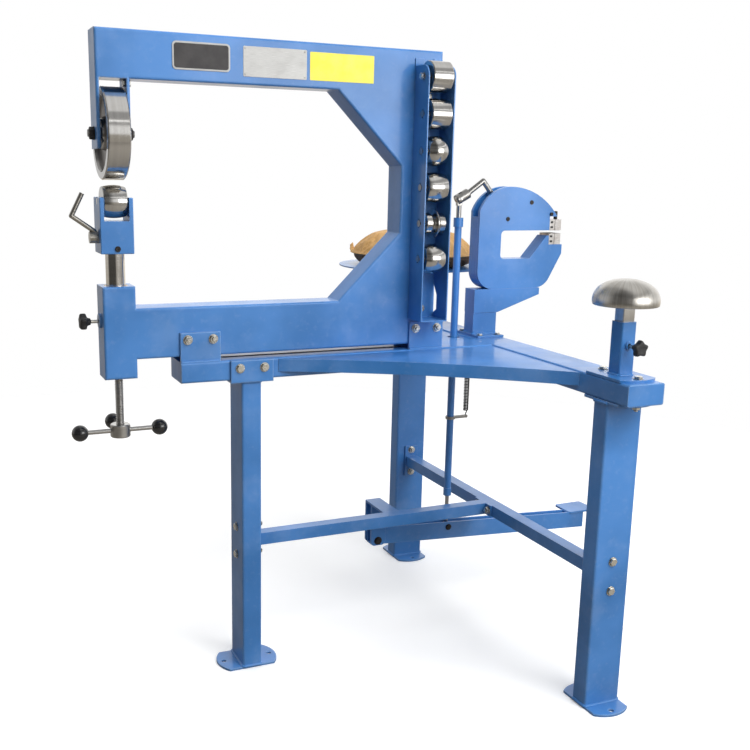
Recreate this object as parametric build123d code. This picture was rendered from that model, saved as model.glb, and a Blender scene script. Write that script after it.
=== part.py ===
from build123d import *
import math
import os

# An english wheel on a three-legged stand, with a rack of lower anvils, a foot-worked
# shrinker head, a dome stake and a sandbag.
# Sizes are millimetres. X runs along the C-frame from the wheels to the throat, Y runs across
# it, away from the operator's near side, and Z is up from the floor.
# Pieces are modelled about the middle plane of the rolling wheels and are set down at the
# end with the centre of the front foot as the origin.

# General sizes
running_fit = 0.05
slide_gap = 0.3
bolt_radius = 5.0
bolt_hole_gap = 0.4
small_bolt_radius = 4.0
plate_thickness = 6.0
tube_corner = 5.0

# Stand
table_height = 815.0
beam_width = 100.0
beam_height = 50.0
front_beam_start = 138.0
front_leg_x = 312.0
cross_beam_behind_column = 226.0
cross_beam_length = 1220.0
side_leg_y = 518.0
leg_width = 100.0
leg_depth = 50.0
foot_length = 158.0
foot_width = 100.0
foot_arc_height = 19.0
foot_bolt_spacing = 124.0
foot_hole_radius = 6.5
saddle_length = 108.0
saddle_bolt_spacing = 62.0
saddle_rise = 49.0
brace_height = 32.0
brace_width = 32.0
cross_brace_width = 35.0
brace_top = 352.0
brace_plate_height = 100.0
brace_plate_width = 44.0
brace_bolt_spacing = 74.0
joint_plate_width = 84.0
joint_bolt_spacing = 58.0

# Corner trays
tray_drop = 3.0
tray_lip = 32.0
tray_sheet = 3.0
tray_along_beam = 612.0
tray_along_cross = 386.0
tray_bow = 32.0
rod_hole_radius = 18.0

# C-frame
frame_thickness = 78.0
frame_edge_radius = 5.0
frame_gap = 13.0
lower_arm_height = 119.0
throat_height = 507.0
throat_depth = 710.0
upper_arm_height = 104.0
column_width = 106.0
top_chamfer = 175.0
lower_chamfer = 166.0
fork_width = 75.0
fork_inner = 60.0
cheek_below_axle = 34.0
housing_above_arm = 51.0
housing_below_arm = 45.0
bracket_length = 98.0
bracket_height = 71.0
bracket_first_x = 138.0
bracket_past_throat = 32.5
bracket_bolt_spacing = 62.0
bracket_bolt_rise = 54.0

# Upper wheel
wheel_radius = 101.5
wheel_width = 50.0
wheel_arm_gap = 15.5
rim_thickness = 17.0
web_thickness = 26.0
wheel_hub_radius = 33.0
axle_radius = 8.0
bearing_radius = 21.0
bearing_width = 13.0
axle_nut_size = 24.0
axle_nut_height = 11.0

# Lower carriage
rest_gap = 10.0
anvil_radius = 37.5
anvil_width = 54.0
anvil_axle_radius = 8.0
yoke_slot_width = 56.5
yoke_depth = 76.0
yoke_top_above_axle = 9.5
yoke_slot_below_axle = 42.5
yoke_height = 125.5
lever_axis_rise = 36.0
shaft_radius = 22.0
shaft_below_lock = 32.0
bushing_wall = 5.0
bushing_length = 45.0
cam_radius = 13.5
cam_offset = 3.0
cam_lobe_radius = 10.0
cam_lobe_width = 24.0
cam_play = 1.0
cam_head_length = 18.5
lever_rod_radius = 5.5
lever_reach = 56.5
lever_bend_rise = 48.0
lever_tip_rise = 98.0
lever_tip_return = 25.0
screw_radius = 10.0
nut_radius = 20.0
nut_length = 30.0
wheel_hub_drop = 130.0
spoke_circle = 94.0
spoke_radius = 5.5
ball_radius = 19.5
hub_radius = 23.5
hub_height = 31.0
lock_rise = 81.0
lock_boss_radius = 17.0
lock_boss_length = 5.0

# Lobed knobs
knob_radius = 19.0
knob_length = 26.0
knob_lobes = 5
knob_stud_radius = 4.5
knob_stud_length = 18.0

# Anvil rack
rack_past_throat = 66.0
rack_width = 75.0
rack_depth = 73.0
rack_sheet = 3.0
rack_above_frame_bottom = 67.0
rack_below_frame_top = 39.0
rack_ear = 19.0
rack_corner_radius = 28.0
first_anvil_rise = 157.0
anvil_pitch = 88.0
anvil_count = 6
anvil_out = 46.0
rack_bolt_rise = 26.0
rack_bolt_head = 3.6
rack_notch_low = 12.0
rack_notch_high = 95.0
rack_notch_depth = 20.0

# Shrinker
shrinker_y = 112.0
head_before_cross_beam = 22.0
head_above_table = 132.0
head_thickness = 48.0
side_plate = 10.0
head_height = 284.0
head_top_x = 98.0
left_arc_radius = 105.0
head_length = 278.0
right_arc_centre = 83.0
head_corner = 50.0
throat_left = 72.0
throat_low = 84.0
throat_high = 163.0
jaw_from_head_end = 46.0
diagonal_before_jaw = 7.0
diagonal_length = 55.0
jaw_length = 39.0
jaw_height = 31.0
jaw_gap = 9.0
jaw_window_width = 9.0
jaw_window_depth = 3.0
pin_1_x = 91.0
pin_1_z = 195.0
pin_2_x = 167.0
pin_2_z = 241.0
pin_radius = 6.0
handle_radius = 7.5
handle_bend_x = 20.0
handle_bend_z = 298.0
handle_slot_x = 50.0
handle_slot_z = 262.0
clevis_radius = 14.0
stand_post_width = 75.0
stand_arm_height = 66.0
stand_arm_length = 215.0
stand_tip_height = 19.0
stand_plate_length = 122.0
stand_plate_width = 84.0

# Pull rod, pedal and spring
rod_before_head = 54.0
rod_radius = 10.0
rod_collar_radius = 13.5
rod_collar_below_pin = 52.0
rod_collar_height = 25.0
rod_stub_radius = 7.0
rod_eye_radius = 12.0
rod_eye_thickness = 12.0
rod_tube_bottom = 343.0
rod_low_collar_height = 23.0
rod_low_collar_radius = 11.5
rod_tip_radius = 5.5
rod_pin_radius = 4.0
rod_slot_play = 2.0
rod_pin_play = 0.8
upper_pin_rise = 250.0
lower_pin_z = 249.0
pedal_pivot_before_rod = 232.0
pedal_pivot_z = 240.0
pedal_height = 50.0
pedal_width = 30.0
pedal_wall = 4.0
pedal_before_pivot = 18.0
pedal_past_rod = 484.0
pedal_start_z = 253.0
pedal_end_z = 212.0
foot_pad_overlap = 55.0
foot_pad_length = 95.0
foot_pad_width = 78.0
bracket_strap = 45.0
bracket_strap_before_pivot = 22.0
clamp_below_beam = 188.0
clamp_height = 8.0
clamp_reach = 50.0
spring_radius = 6.4
spring_wire = 1.6
spring_turns = 36
spring_pitch = 3.9


# Dome stake and sandbag
post_size = 40.0
post_wall = 4.0
post_height = 122.0
bar_rise = 32.0
bar_depth_in_post = 90.0
dome_radius = 100.0
dome_height = 64.0
dome_rim = 10.0
post_knob_rise = 69.0
post_boss_radius = 9.0
post_boss_length = 4.0
bag_radius = 205.0
bag_height = 110.0
bag_foot_radius = 158.0
bag_lip_height = 62.0
bag_lip = 15.0
bag_cap_rise = 13.0
tray_radius = 236.0
bag_tray_thickness = 4.0

# Derived places
frame_bottom = table_height + frame_gap
lower_arm_top = frame_bottom + lower_arm_height
throat_top = lower_arm_top + throat_height
frame_top = throat_top + upper_arm_height
frame_back = throat_depth + column_width
cross_beam_x = frame_back + cross_beam_behind_column
bracket_second_x = throat_depth + bracket_past_throat
half_thickness = frame_thickness / 2
beam_bottom = table_height - beam_height
front_beam_end = cross_beam_x - beam_width / 2
wheel_z = throat_top - wheel_arm_gap - wheel_radius
housing_top = lower_arm_top + housing_above_arm
housing_bottom = frame_bottom - housing_below_arm
anvil_z = wheel_z - wheel_radius - rest_gap - anvil_radius
yoke_top = anvil_z + yoke_top_above_axle
yoke_bottom = yoke_top - yoke_height
yoke_slot_bottom = anvil_z - yoke_slot_below_axle
lever_axis_z = yoke_bottom + lever_axis_rise
lock_z = frame_bottom + lock_rise + 8.0
shaft_bottom = lock_z - shaft_below_lock
hub_z = housing_bottom - wheel_hub_drop
post_plate_top = table_height + plate_thickness
post_knob_z = post_plate_top + post_knob_rise
rack_x = throat_depth + rack_past_throat
rack_bottom = frame_bottom + rack_above_frame_bottom
rack_top = frame_top - rack_below_frame_top
first_anvil_z = rack_bottom + first_anvil_rise
rack_bolt_low = rack_bottom + rack_bolt_rise
head_x = cross_beam_x - head_before_cross_beam
right_arc_radius = head_length - right_arc_centre
jaw_left = head_length - jaw_from_head_end
diagonal_end = jaw_left - diagonal_before_jaw
diagonal_start = diagonal_end - diagonal_length
head_bottom = table_height + head_above_table
head_near = shrinker_y - head_thickness / 2
head_far = shrinker_y + head_thickness / 2
rod_x = head_x - rod_before_head
upper_pin_z = head_bottom + upper_pin_rise
rod_collar_top = upper_pin_z - rod_collar_below_pin
pedal_pivot_x = rod_x - pedal_pivot_before_rod
pedal_start_x = pedal_pivot_x - pedal_before_pivot
pedal_end_x = rod_x + pedal_past_rod
foot_pad_start = pedal_end_x - foot_pad_overlap
bracket_strap_x = pedal_pivot_x - bracket_strap_before_pivot
clamp_z = beam_bottom - clamp_below_beam


def block(x_span, y_span, z_span):
    """A box given by its low and high side along each axis."""
    size = [high - low for low, high in (x_span, y_span, z_span)]
    middle = [(high + low) / 2 for low, high in (x_span, y_span, z_span)]
    return Pos(*middle) * Box(*size)


def around(middle, size):
    """The low and high side of a width about its middle."""
    return (middle - size / 2, middle + size / 2)


def rod(start, end, radius):
    """A round bar from one point to another."""
    start = Vector(*start)
    end = Vector(*end)
    plane = Plane(origin=start, z_dir=end - start)
    length = (end - start).length
    return plane.location * Pos(0, 0, length / 2) * Cylinder(radius, length)


def hexagon(start, end, across_flats):
    """A hexagonal bar from one point to another."""
    start = Vector(*start)
    end = Vector(*end)
    plane = Plane(origin=start, z_dir=end - start)
    face = RegularPolygon(across_flats / 2, 6, major_radius=False)
    return plane.location * extrude(face, (end - start).length)


def bolt(start, direction, grip, radius, nut=True, head=None):
    """A hexagon bolt: its head lies before start, and its nut past the grip."""
    start = Vector(*start)
    direction = Vector(*direction)
    head = head or 1.3 * radius
    size = 3.4 * radius
    tip = 1.8 * radius + 3.0
    far = start + direction * grip
    piece = hexagon(tuple(start - direction * head), tuple(start), size)
    if nut:
        piece += rod(tuple(start), tuple(far + direction * tip), radius)
        piece += hexagon(tuple(far), tuple(far + direction * 1.6 * radius), size)
    else:
        piece += rod(tuple(start), tuple(far), radius)
    return piece


def upright_outline(points):
    """A flat face in the XZ plane through the given (x, z) points."""
    line = Polyline([(x, z) for x, z in points], close=True)
    return Plane.XZ * make_face(line)


def thick(face, y_middle, thickness):
    """Give an XZ face its thickness about a middle plane."""
    return Pos(0, y_middle, 0) * extrude(face, thickness / 2, both=True)


def turned(profile, x=0.0, y=0.0, z=0.0):
    """Turn an (along, radius) profile about an axis that runs along X."""
    line = Polyline([(along, radius) for along, radius in profile], close=True)
    face = make_face(line)
    return Pos(x, y, z) * revolve(face, Axis.X)


def arc_ended_plate(length, width, thickness, arc_height):
    """A plate with rounded ends, long in Y, lying on Z = 0."""
    half_w = width / 2
    straight = length / 2 - arc_height
    sides = (
        Line((-half_w, -straight), (-half_w, straight))
        + ThreePointArc((-half_w, straight), (0, length / 2), (half_w, straight))
        + Line((half_w, straight), (half_w, -straight))
        + ThreePointArc((half_w, -straight), (0, -length / 2), (-half_w, -straight))
    )
    return extrude(make_face(sides), thickness)


def drilled_foot(thickness, hole_radius):
    """The rounded plate with its two bolt holes, long in Y."""
    plate = arc_ended_plate(foot_length, foot_width, thickness, foot_arc_height)
    for side in (-1, 1):
        place = Pos(0, side * foot_bolt_spacing / 2, thickness / 2)
        plate -= place * Cylinder(hole_radius, 2 * thickness)
    return plate


def bar_section(width_x, width_y, z_low, z_high, x, y):
    """A rounded rectangular upright tube, closed at its ends by the plates on it."""
    face = RectangleRounded(width_x, width_y, tube_corner)
    return Pos(x, y, z_low) * extrude(face, z_high - z_low)


def lobed_knob(radius, length, lobes):
    """A hand knob with rounded lobes, standing on Z = 0."""
    core = Pos(0, 0, length / 2) * Cylinder(0.72 * radius, length)
    for index in range(lobes):
        turn = Rot(0, 0, index * 360.0 / lobes)
        core += turn * Pos(0.68 * radius, 0, length / 2) * Cylinder(0.32 * radius, 0.72 * length)
    return core


def knob_with_stud(seat, direction, stud_length):
    """A lobed knob on its stud; the stud's tip starts at the seat."""
    plane = Plane(origin=Vector(*seat), z_dir=Vector(*direction))
    stud = Pos(0, 0, stud_length / 2) * Cylinder(knob_stud_radius, stud_length)
    knob = Pos(0, 0, stud_length) * lobed_knob(knob_radius, knob_length, knob_lobes)
    return plane.location * (stud + knob)


# C-frame weldment

def frame_outline():
    half_fork = fork_width / 2
    return upright_outline([
        (-half_fork, frame_top),
        (frame_back, frame_top),
        (frame_back, frame_bottom),
        (half_fork, frame_bottom),
        (half_fork, housing_bottom),
        (-half_fork, housing_bottom),
        (-half_fork, housing_top),
        (half_fork, housing_top),
        (half_fork, lower_arm_top),
        (throat_depth - lower_chamfer, lower_arm_top),
        (throat_depth, lower_arm_top + lower_chamfer),
        (throat_depth, throat_top - top_chamfer),
        (throat_depth - top_chamfer, throat_top),
        (half_fork, throat_top),
        (half_fork, wheel_z - cheek_below_axle),
        (-half_fork, wheel_z - cheek_below_axle),
    ])


def frame_bolt_places():
    """The X places of the four bolts that clamp the C-frame in its brackets."""
    places = []
    for start in (bracket_first_x, bracket_second_x):
        middle = start + bracket_length / 2
        for side in (-1, 1):
            places.append(middle + side * bracket_bolt_spacing / 2)
    return places


def rack_bolt_places():
    """The heights of the two bolts that hold the rack on the column."""
    between = first_anvil_z + (anvil_count - 1.5) * anvil_pitch
    return (rack_bolt_low, between)


def make_c_frame():
    frame = thick(frame_outline(), 0, frame_thickness)
    rims = frame.edges().filter_by_position(Axis.Y, -half_thickness, -half_thickness)
    rims += frame.edges().filter_by_position(Axis.Y, half_thickness, half_thickness)
    frame = fillet(rims, frame_edge_radius)
    fork_slot = block(
        around(0, fork_inner),
        around(0, 2 * frame_thickness),
        (wheel_z - 2 * cheek_below_axle, throat_top),
    )
    frame -= fork_slot
    boss_radius = axle_radius + 7.0
    boss_width = fork_inner / 2 - wheel_width / 2 - 1.0
    for side in (-1, 1):
        inner = side * (fork_inner / 2 - boss_width)
        frame += rod((inner, 0, wheel_z), (side * fork_inner / 2, 0, wheel_z), boss_radius)
    frame -= rod((-fork_width, 0, wheel_z), (fork_width, 0, wheel_z), axle_radius)
    frame -= cheek_bolt_hole()
    boss_end = -fork_width / 2 - lock_boss_length
    frame += rod((boss_end, 0, lock_z), (1 - fork_width / 2, 0, lock_z), lock_boss_radius)
    bore = shaft_radius + bushing_wall
    frame -= rod((0, 0, housing_bottom + nut_length), (0, 0, housing_top), bore)
    frame -= rod((0, 0, housing_bottom), (0, 0, housing_bottom + nut_length), nut_radius)
    stud_hole = knob_stud_radius + running_fit
    frame -= rod((boss_end, 0, lock_z), (0, 0, lock_z), stud_hole)
    for x in frame_bolt_places():
        z = table_height + bracket_bolt_rise
        hole = bolt_radius + bolt_hole_gap
        frame -= rod((x, -frame_thickness, z), (x, frame_thickness, z), hole)
    for z in rack_bolt_places():
        hole = small_bolt_radius
        frame -= rod((rack_x, -half_thickness, z), (rack_x, 0, z), hole)
    return frame


# A bolt through the right cheek, just above the wheel
cheek_bolt_z = wheel_z + wheel_radius + 7.0
cheek_bolt_y = -18.0


def cheek_bolt_hole():
    start = (fork_inner / 2, cheek_bolt_y, cheek_bolt_z)
    return rod(start, (fork_width, cheek_bolt_y, cheek_bolt_z), small_bolt_radius)


# Upper wheel

def make_upper_wheel():
    half = wheel_width / 2
    edge = 2.5
    web = web_thickness / 2
    rim_inner = wheel_radius - rim_thickness
    seat = half - bearing_width
    bore = axle_radius + 4.0
    return turned([
        (-half + edge, wheel_radius),
        (half - edge, wheel_radius),
        (half, wheel_radius - edge),
        (half, rim_inner),
        (web, rim_inner - 5.0),
        (web, wheel_hub_radius + 5.0),
        (half, wheel_hub_radius),
        (half, bearing_radius),
        (seat, bearing_radius),
        (seat, bore),
        (-seat, bore),
        (-seat, bearing_radius),
        (-half, bearing_radius),
        (-half, wheel_hub_radius),
        (-web, wheel_hub_radius + 5.0),
        (-web, rim_inner - 5.0),
        (-half, rim_inner),
        (-half, wheel_radius - edge),
    ], z=wheel_z)


def make_wheel_bearings():
    """Two sealed bearings pressed into the wheel's hub."""
    bearings = []
    inner = axle_radius + running_fit
    groove = 0.6
    for side in (-1, 1):
        outer_end = side * wheel_width / 2
        inner_end = side * (wheel_width / 2 - bearing_width)
        face = outer_end - side * groove
        low = inner + 4.0
        high = bearing_radius - 3.5
        bearings.append(turned([
            (inner_end, inner),
            (outer_end, inner),
            (outer_end, low),
            (face, low),
            (face, high),
            (outer_end, high),
            (outer_end, bearing_radius),
            (inner_end, bearing_radius),
        ], z=wheel_z))
    return Compound(children=bearings)


def make_wheel_axle():
    end = fork_width / 2 + axle_nut_height + 3.0
    return rod((-end, 0, wheel_z), (end, 0, wheel_z), axle_radius)


def make_axle_nuts():
    nuts = []
    for side in (-1, 1):
        start = side * fork_width / 2
        end = start + side * axle_nut_height
        nut = hexagon((start, 0, wheel_z), (end, 0, wheel_z), axle_nut_size)
        nut -= rod((start, 0, wheel_z), (end, 0, wheel_z), axle_radius)
        nuts.append(nut)
    return Compound(children=nuts)


# Lower carriage

def make_shaft_bushings():
    bushings = []
    outer = shaft_radius + bushing_wall
    inner = shaft_radius + running_fit
    spans = (
        (housing_top - bushing_length, housing_top),
        (lock_z - lock_boss_radius - bushing_length, lock_z - lock_boss_radius),
    )
    for low, high in spans:
        ring = rod((0, 0, low), (0, 0, high), outer) - rod((0, 0, low), (0, 0, high), inner)
        bushings.append(ring)
    return Compound(children=bushings)


def make_screw_nut():
    low = housing_bottom
    high = housing_bottom + nut_length
    nut = rod((0, 0, low), (0, 0, high), nut_radius)
    return nut - rod((0, 0, low), (0, 0, high), screw_radius + running_fit)


def make_lift_shaft():
    """The polished shaft, with a short nose that the release cam bears on."""
    nose_top = lever_axis_z - cam_lobe_radius - cam_offset - cam_play
    shoulder = nose_top - 9.0
    shaft = rod((0, 0, shaft_bottom), (0, 0, shoulder), shaft_radius)
    shaft = chamfer(shaft.edges().group_by(Axis.Z)[-1], 1.5)
    return shaft + rod((0, 0, shoulder), (0, 0, nose_top), cam_lobe_radius)


def make_lift_screw():
    top = shaft_bottom - slide_gap
    screw = rod((0, 0, hub_z - hub_height / 2), (0, 0, top), screw_radius)
    return chamfer(screw.edges().group_by(Axis.Z)[-1], 1.5)


def spoke_ends():
    """The middles of the three ball grips: both ways along X and one to the far side."""
    return ((-spoke_circle, 0, hub_z), (spoke_circle, 0, hub_z), (0, spoke_circle, hub_z))


def make_hand_wheel():
    low = hub_z - hub_height / 2
    high = hub_z + hub_height / 2
    hub = rod((0, 0, low), (0, 0, high), hub_radius)
    hub = chamfer(hub.edges(), 2.0)
    for x, y, z in spoke_ends():
        share = 1 - (ball_radius - 8.0) / spoke_circle
        hub += rod((0, 0, z), (x * share, y * share, z), spoke_radius)
    return hub - rod((0, 0, low), (0, 0, high), screw_radius)


def make_hand_wheel_balls():
    balls = []
    for x, y, z in spoke_ends():
        share = 1 - (ball_radius - 8.0) / spoke_circle
        ball = Pos(x, y, z) * Sphere(ball_radius)
        flat = ball_radius - 1.5
        cut = flat / spoke_circle
        near = (x * (1 - cut), y * (1 - cut), z)
        ball -= rod((0, 0, z), near, ball_radius)
        ball -= rod((0, 0, z), (x * share, y * share, z), spoke_radius)
        balls.append(ball)
    return Compound(children=balls)


def make_anvil_yoke():
    half = fork_width / 2
    yoke = block((-half, half), around(0, yoke_depth), (yoke_bottom, yoke_top))
    yoke = chamfer(yoke.edges(), 1.5)
    slot = block(around(0, yoke_slot_width), around(0, 2 * yoke_depth), (yoke_slot_bottom, yoke_top + 1))
    yoke -= slot
    seat = anvil_axle_radius
    yoke -= rod((-half, 0, anvil_z), (half, 0, anvil_z), seat)
    yoke -= block((-half, half), around(0, 2 * seat), (anvil_z, yoke_top + 1))
    bore = shaft_radius + running_fit
    yoke -= rod((0, 0, yoke_bottom), (0, 0, lever_axis_z), bore)
    cam_bore = cam_radius + running_fit
    yoke -= rod((-half, 0, lever_axis_z), (half - 6.0, 0, lever_axis_z), cam_bore)
    screw_z = yoke_bottom + 11.5
    yoke -= rod((0, -yoke_depth / 2, screw_z), (0, 0, screw_z), small_bolt_radius)
    return yoke


def make_yoke_set_screw():
    screw_z = yoke_bottom + 11.5
    start = -yoke_depth / 2 - 1.0
    end = -shaft_radius - slide_gap
    screw = rod((0, start, screw_z), (0, end, screw_z), small_bolt_radius)
    return screw - hexagon((0, start, screw_z), (0, start + 4.0, screw_z), small_bolt_radius)


def make_release_lever():
    """An eccentric that crosses the yoke, with a bent round lever on its head."""
    half = fork_width / 2
    head_end = -half - cam_head_length
    inner_end = half - 6.0 - slide_gap
    lobe = cam_lobe_width / 2
    cam = rod((head_end, 0, lever_axis_z), (-lobe, 0, lever_axis_z), cam_radius)
    cam += rod((lobe, 0, lever_axis_z), (inner_end, 0, lever_axis_z), cam_radius)
    low_axis = lever_axis_z - cam_offset
    cam += rod((-lobe, 0, low_axis), (lobe, 0, low_axis), cam_lobe_radius)
    root_x = -half - lever_rod_radius - 1.5
    root = (root_x, 0, lever_axis_z + cam_radius)
    bend = (-half - lever_reach, 0, lever_axis_z + lever_bend_rise)
    tip = (-half - lever_reach + lever_tip_return, 0, lever_axis_z + lever_tip_rise)
    cam += rod((root_x, 0, lever_axis_z), root, lever_rod_radius)
    cam += Pos(*root) * Sphere(lever_rod_radius)
    cam += rod(root, bend, lever_rod_radius)
    cam += Pos(*bend) * Sphere(lever_rod_radius)
    cam += rod(bend, tip, lever_rod_radius)
    return cam


def anvil_solid(edge_radius, x, y, z):
    """A lower anvil whose tread rises in one arc from its edge radius to the full radius."""
    half = anvil_width / 2
    bore = anvil_axle_radius + running_fit
    outline = (
        Line((-half, bore), (-half, edge_radius - 1.5))
        + Line((-half, edge_radius - 1.5), (-half + 1.5, edge_radius))
        + ThreePointArc((-half + 1.5, edge_radius), (0, anvil_radius), (half - 1.5, edge_radius))
        + Line((half - 1.5, edge_radius), (half, edge_radius - 1.5))
        + Line((half, edge_radius - 1.5), (half, bore))
        + Line((half, bore), (-half, bore))
    )
    return Pos(x, y, z) * revolve(make_face(outline), Axis.X)


def beading_anvil(x, y, z):
    """The stepped anvil: two plain shoulders with a thin disc standing between them."""
    half = anvil_width / 2
    bore = anvil_axle_radius + running_fit
    shoulder = 26.0
    neck = 21.0
    disc = 2.5
    return turned([
        (-half, bore),
        (-half, shoulder - 2.0),
        (-half + 2.0, shoulder),
        (-0.4 * half, shoulder),
        (-2.5 * disc, neck),
        (-disc, neck),
        (-0.4 * disc, anvil_radius),
        (0.4 * disc, anvil_radius),
        (disc, neck),
        (2.5 * disc, neck),
        (0.4 * half, shoulder),
        (half - 2.0, shoulder),
        (half, shoulder - 2.0),
        (half, bore),
    ], x, y, z)


def make_anvil_axle():
    half = fork_width / 2 - slide_gap
    return rod((-half, 0, anvil_z), (half, 0, anvil_z), anvil_axle_radius)


def make_lock_knob():
    seat = (-shaft_radius - slide_gap, 0, lock_z)
    wall = fork_width / 2 + lock_boss_length - shaft_radius - slide_gap
    return knob_with_stud(seat, (-1, 0, 0), wall + knob_stud_length)


# Anvil rack

rack_back_y = -half_thickness
rack_anvil_y = rack_back_y - anvil_out


def rack_anvil_z(index):
    """Heights from the top place down."""
    return first_anvil_z + (anvil_count - 1 - index) * anvil_pitch


def make_anvil_rack():
    front = rack_back_y - rack_depth
    x_low, x_high = around(rack_x, rack_width)
    shell = block((x_low, x_high), (front, rack_back_y), (rack_bottom, rack_top))
    flange_tops = shell.edges().filter_by(Axis.X).group_by(Axis.Y)[0].sort_by(Axis.Z)[-1]
    shell = fillet(flange_tops, rack_corner_radius)
    hollow = block(
        (x_low + rack_sheet, x_high - rack_sheet),
        (front - 1, rack_back_y - rack_sheet),
        (rack_bottom + rack_sheet, rack_top + 1),
    )
    rack = shell - hollow
    for side in (-1, 1):
        middle = rack_x + side * (rack_width / 2 - 12.0)
        ear = block(
            around(middle, 24.0),
            (rack_back_y - rack_sheet, rack_back_y),
            (rack_top, rack_top + rack_ear),
        )
        rack += ear
    side_hole = 2 * (anvil_axle_radius + slide_gap)
    for index in range(anvil_count):
        cutter = Box(2 * rack_width, side_hole, side_hole)
        place = Pos(rack_x, rack_anvil_y, rack_anvil_z(index)) * Rot(45, 0, 0)
        rack -= place * cutter
    notch = Polyline(
        [
            (rack_back_y + 1, rack_bottom + rack_notch_high),
            (rack_back_y - rack_notch_depth, rack_bottom + rack_notch_high - 33.0),
            (rack_back_y - rack_notch_depth, rack_bottom + 2 * rack_notch_low),
            (rack_back_y + 1, rack_bottom + rack_notch_low),
        ],
        close=True,
    )
    cut = extrude(Plane.YZ * make_face(notch), 2 * rack_sheet)
    rack -= Pos(x_high - rack_sheet, 0, 0) * cut
    for z in rack_bolt_places():
        rack -= rod((rack_x, front, z), (rack_x, rack_back_y, z), small_bolt_radius)
    return rack


def make_rack_axles():
    axles = []
    half = rack_width / 2 + 1.0
    for index in range(anvil_count):
        z = rack_anvil_z(index)
        start = (rack_x - half, rack_anvil_y, z)
        end = (rack_x + half, rack_anvil_y, z)
        axles.append(rod(start, end, anvil_axle_radius))
    return Compound(children=axles)


# Stand

def make_front_beam():
    """The beam under the C-frame, with the four plates that clamp the C-frame welded on."""
    length = front_beam_end - front_beam_start
    section = RectangleRounded(beam_width, beam_height, tube_corner)
    beam = Plane.YZ * extrude(section, length)
    beam = Pos(front_beam_start, 0, table_height - beam_height / 2) * beam
    hole = bolt_radius + bolt_hole_gap
    for side in (-1, 1):
        near = side * half_thickness
        far = side * (half_thickness + plate_thickness)
        span = (min(near, far), max(near, far))
        for start in (bracket_first_x, bracket_second_x):
            z_span = (table_height - 1.0, table_height + bracket_height)
            beam += block((start, start + bracket_length), span, z_span)
    for x in frame_bolt_places():
        z = table_height + bracket_bolt_rise
        beam -= rod((x, -beam_width, z), (x, beam_width, z), hole)
    z = saddle_bolt_z()
    for x in saddle_bolt_places():
        beam -= rod((x, -beam_width, z), (x, beam_width, z), hole)
    return beam


def saddle_bolt_z():
    return table_height - 20.0


def saddle_bolt_places():
    return tuple(front_leg_x + side * saddle_bolt_spacing / 2 for side in (-1, 1))


def beam_bolt_places():
    """The four long bolts through a rounded plate, the cross beam and a leg flange."""
    places = []
    for side in (-1, 1):
        for end in (-1, 1):
            places.append(side * side_leg_y + end * foot_bolt_spacing / 2)
    return places


def make_cross_beam():
    section = RectangleRounded(beam_width, beam_height, tube_corner)
    beam = Plane.XZ * extrude(section, cross_beam_length / 2, both=True)
    beam = Pos(cross_beam_x, 0, table_height - beam_height / 2) * beam
    hole = bolt_radius + bolt_hole_gap
    for y in beam_bolt_places():
        beam -= rod((cross_beam_x, y, beam_bottom), (cross_beam_x, y, table_height), hole)
    for x, y in stand_bolt_places():
        deep = table_height - 24.0
        beam -= rod((x, y, deep), (x, y, table_height), small_bolt_radius)
    return beam


def tray_outline(side, inset):
    """The tray's outline on one side of the front beam, with its free edge bowed inwards."""
    corner_x = front_beam_end
    corner_y = beam_width / 2
    on_beam = (corner_x - tray_along_beam + inset, side * corner_y)
    on_cross = (corner_x, side * (corner_y + tray_along_cross - inset))
    middle_x = (on_beam[0] + on_cross[0]) / 2
    middle_y = (on_beam[1] + on_cross[1]) / 2
    run = math.hypot(tray_along_beam, tray_along_cross)
    toward_x = tray_along_cross / run
    toward_y = -side * tray_along_beam / run
    bowed = (middle_x + tray_bow * toward_x, middle_y + tray_bow * toward_y)
    edge = ThreePointArc(on_beam, bowed, on_cross)
    edge += Line(on_cross, (corner_x, side * corner_y))
    edge += Line((corner_x, side * corner_y), on_beam)
    return make_face(edge)


def make_corner_tray(side):
    """A sheet corner with its bowed edge folded down."""
    top = table_height - tray_drop
    tray = Pos(0, 0, top - tray_lip) * extrude(tray_outline(side, 0), tray_lip)
    under = extrude(tray_outline(side, 2.2 * tray_sheet), tray_lip - tray_sheet)
    tray -= Pos(0, 0, top - tray_lip) * under
    if side > 0:
        tray -= rod((rod_x, shrinker_y, top - tray_lip), (rod_x, shrinker_y, top), rod_hole_radius)
    return tray


def brace_middle():
    return brace_top - brace_height / 2


def brace_bolt_heights():
    return tuple(brace_middle() + side * brace_bolt_spacing / 2 for side in (-1, 1))


def make_front_leg():
    """The leg under the front beam: foot plate, tube and a saddle round the beam."""
    foot = Rot(0, 0, 90) * drilled_foot(plate_thickness, foot_hole_radius)
    leg = Pos(front_leg_x, 0, 0) * foot
    saddle_low = beam_bottom - plate_thickness
    leg += bar_section(leg_depth, leg_width, plate_thickness, saddle_low, front_leg_x, 0)
    outer = beam_width / 2 + plate_thickness
    x_span = around(front_leg_x, saddle_length)
    saddle = block(x_span, (-outer, outer), (saddle_low, saddle_low + plate_thickness + saddle_rise))
    saddle -= block(x_span, around(0, beam_width), (beam_bottom, table_height))
    leg += saddle
    hole = bolt_radius + bolt_hole_gap
    for x in saddle_bolt_places():
        z = saddle_bolt_z()
        leg -= rod((x, -beam_width, z), (x, beam_width, z), hole)
    for z in brace_bolt_heights():
        leg -= rod((front_leg_x - leg_depth, 0, z), (front_leg_x + leg_depth, 0, z), hole)
    return leg


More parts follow.
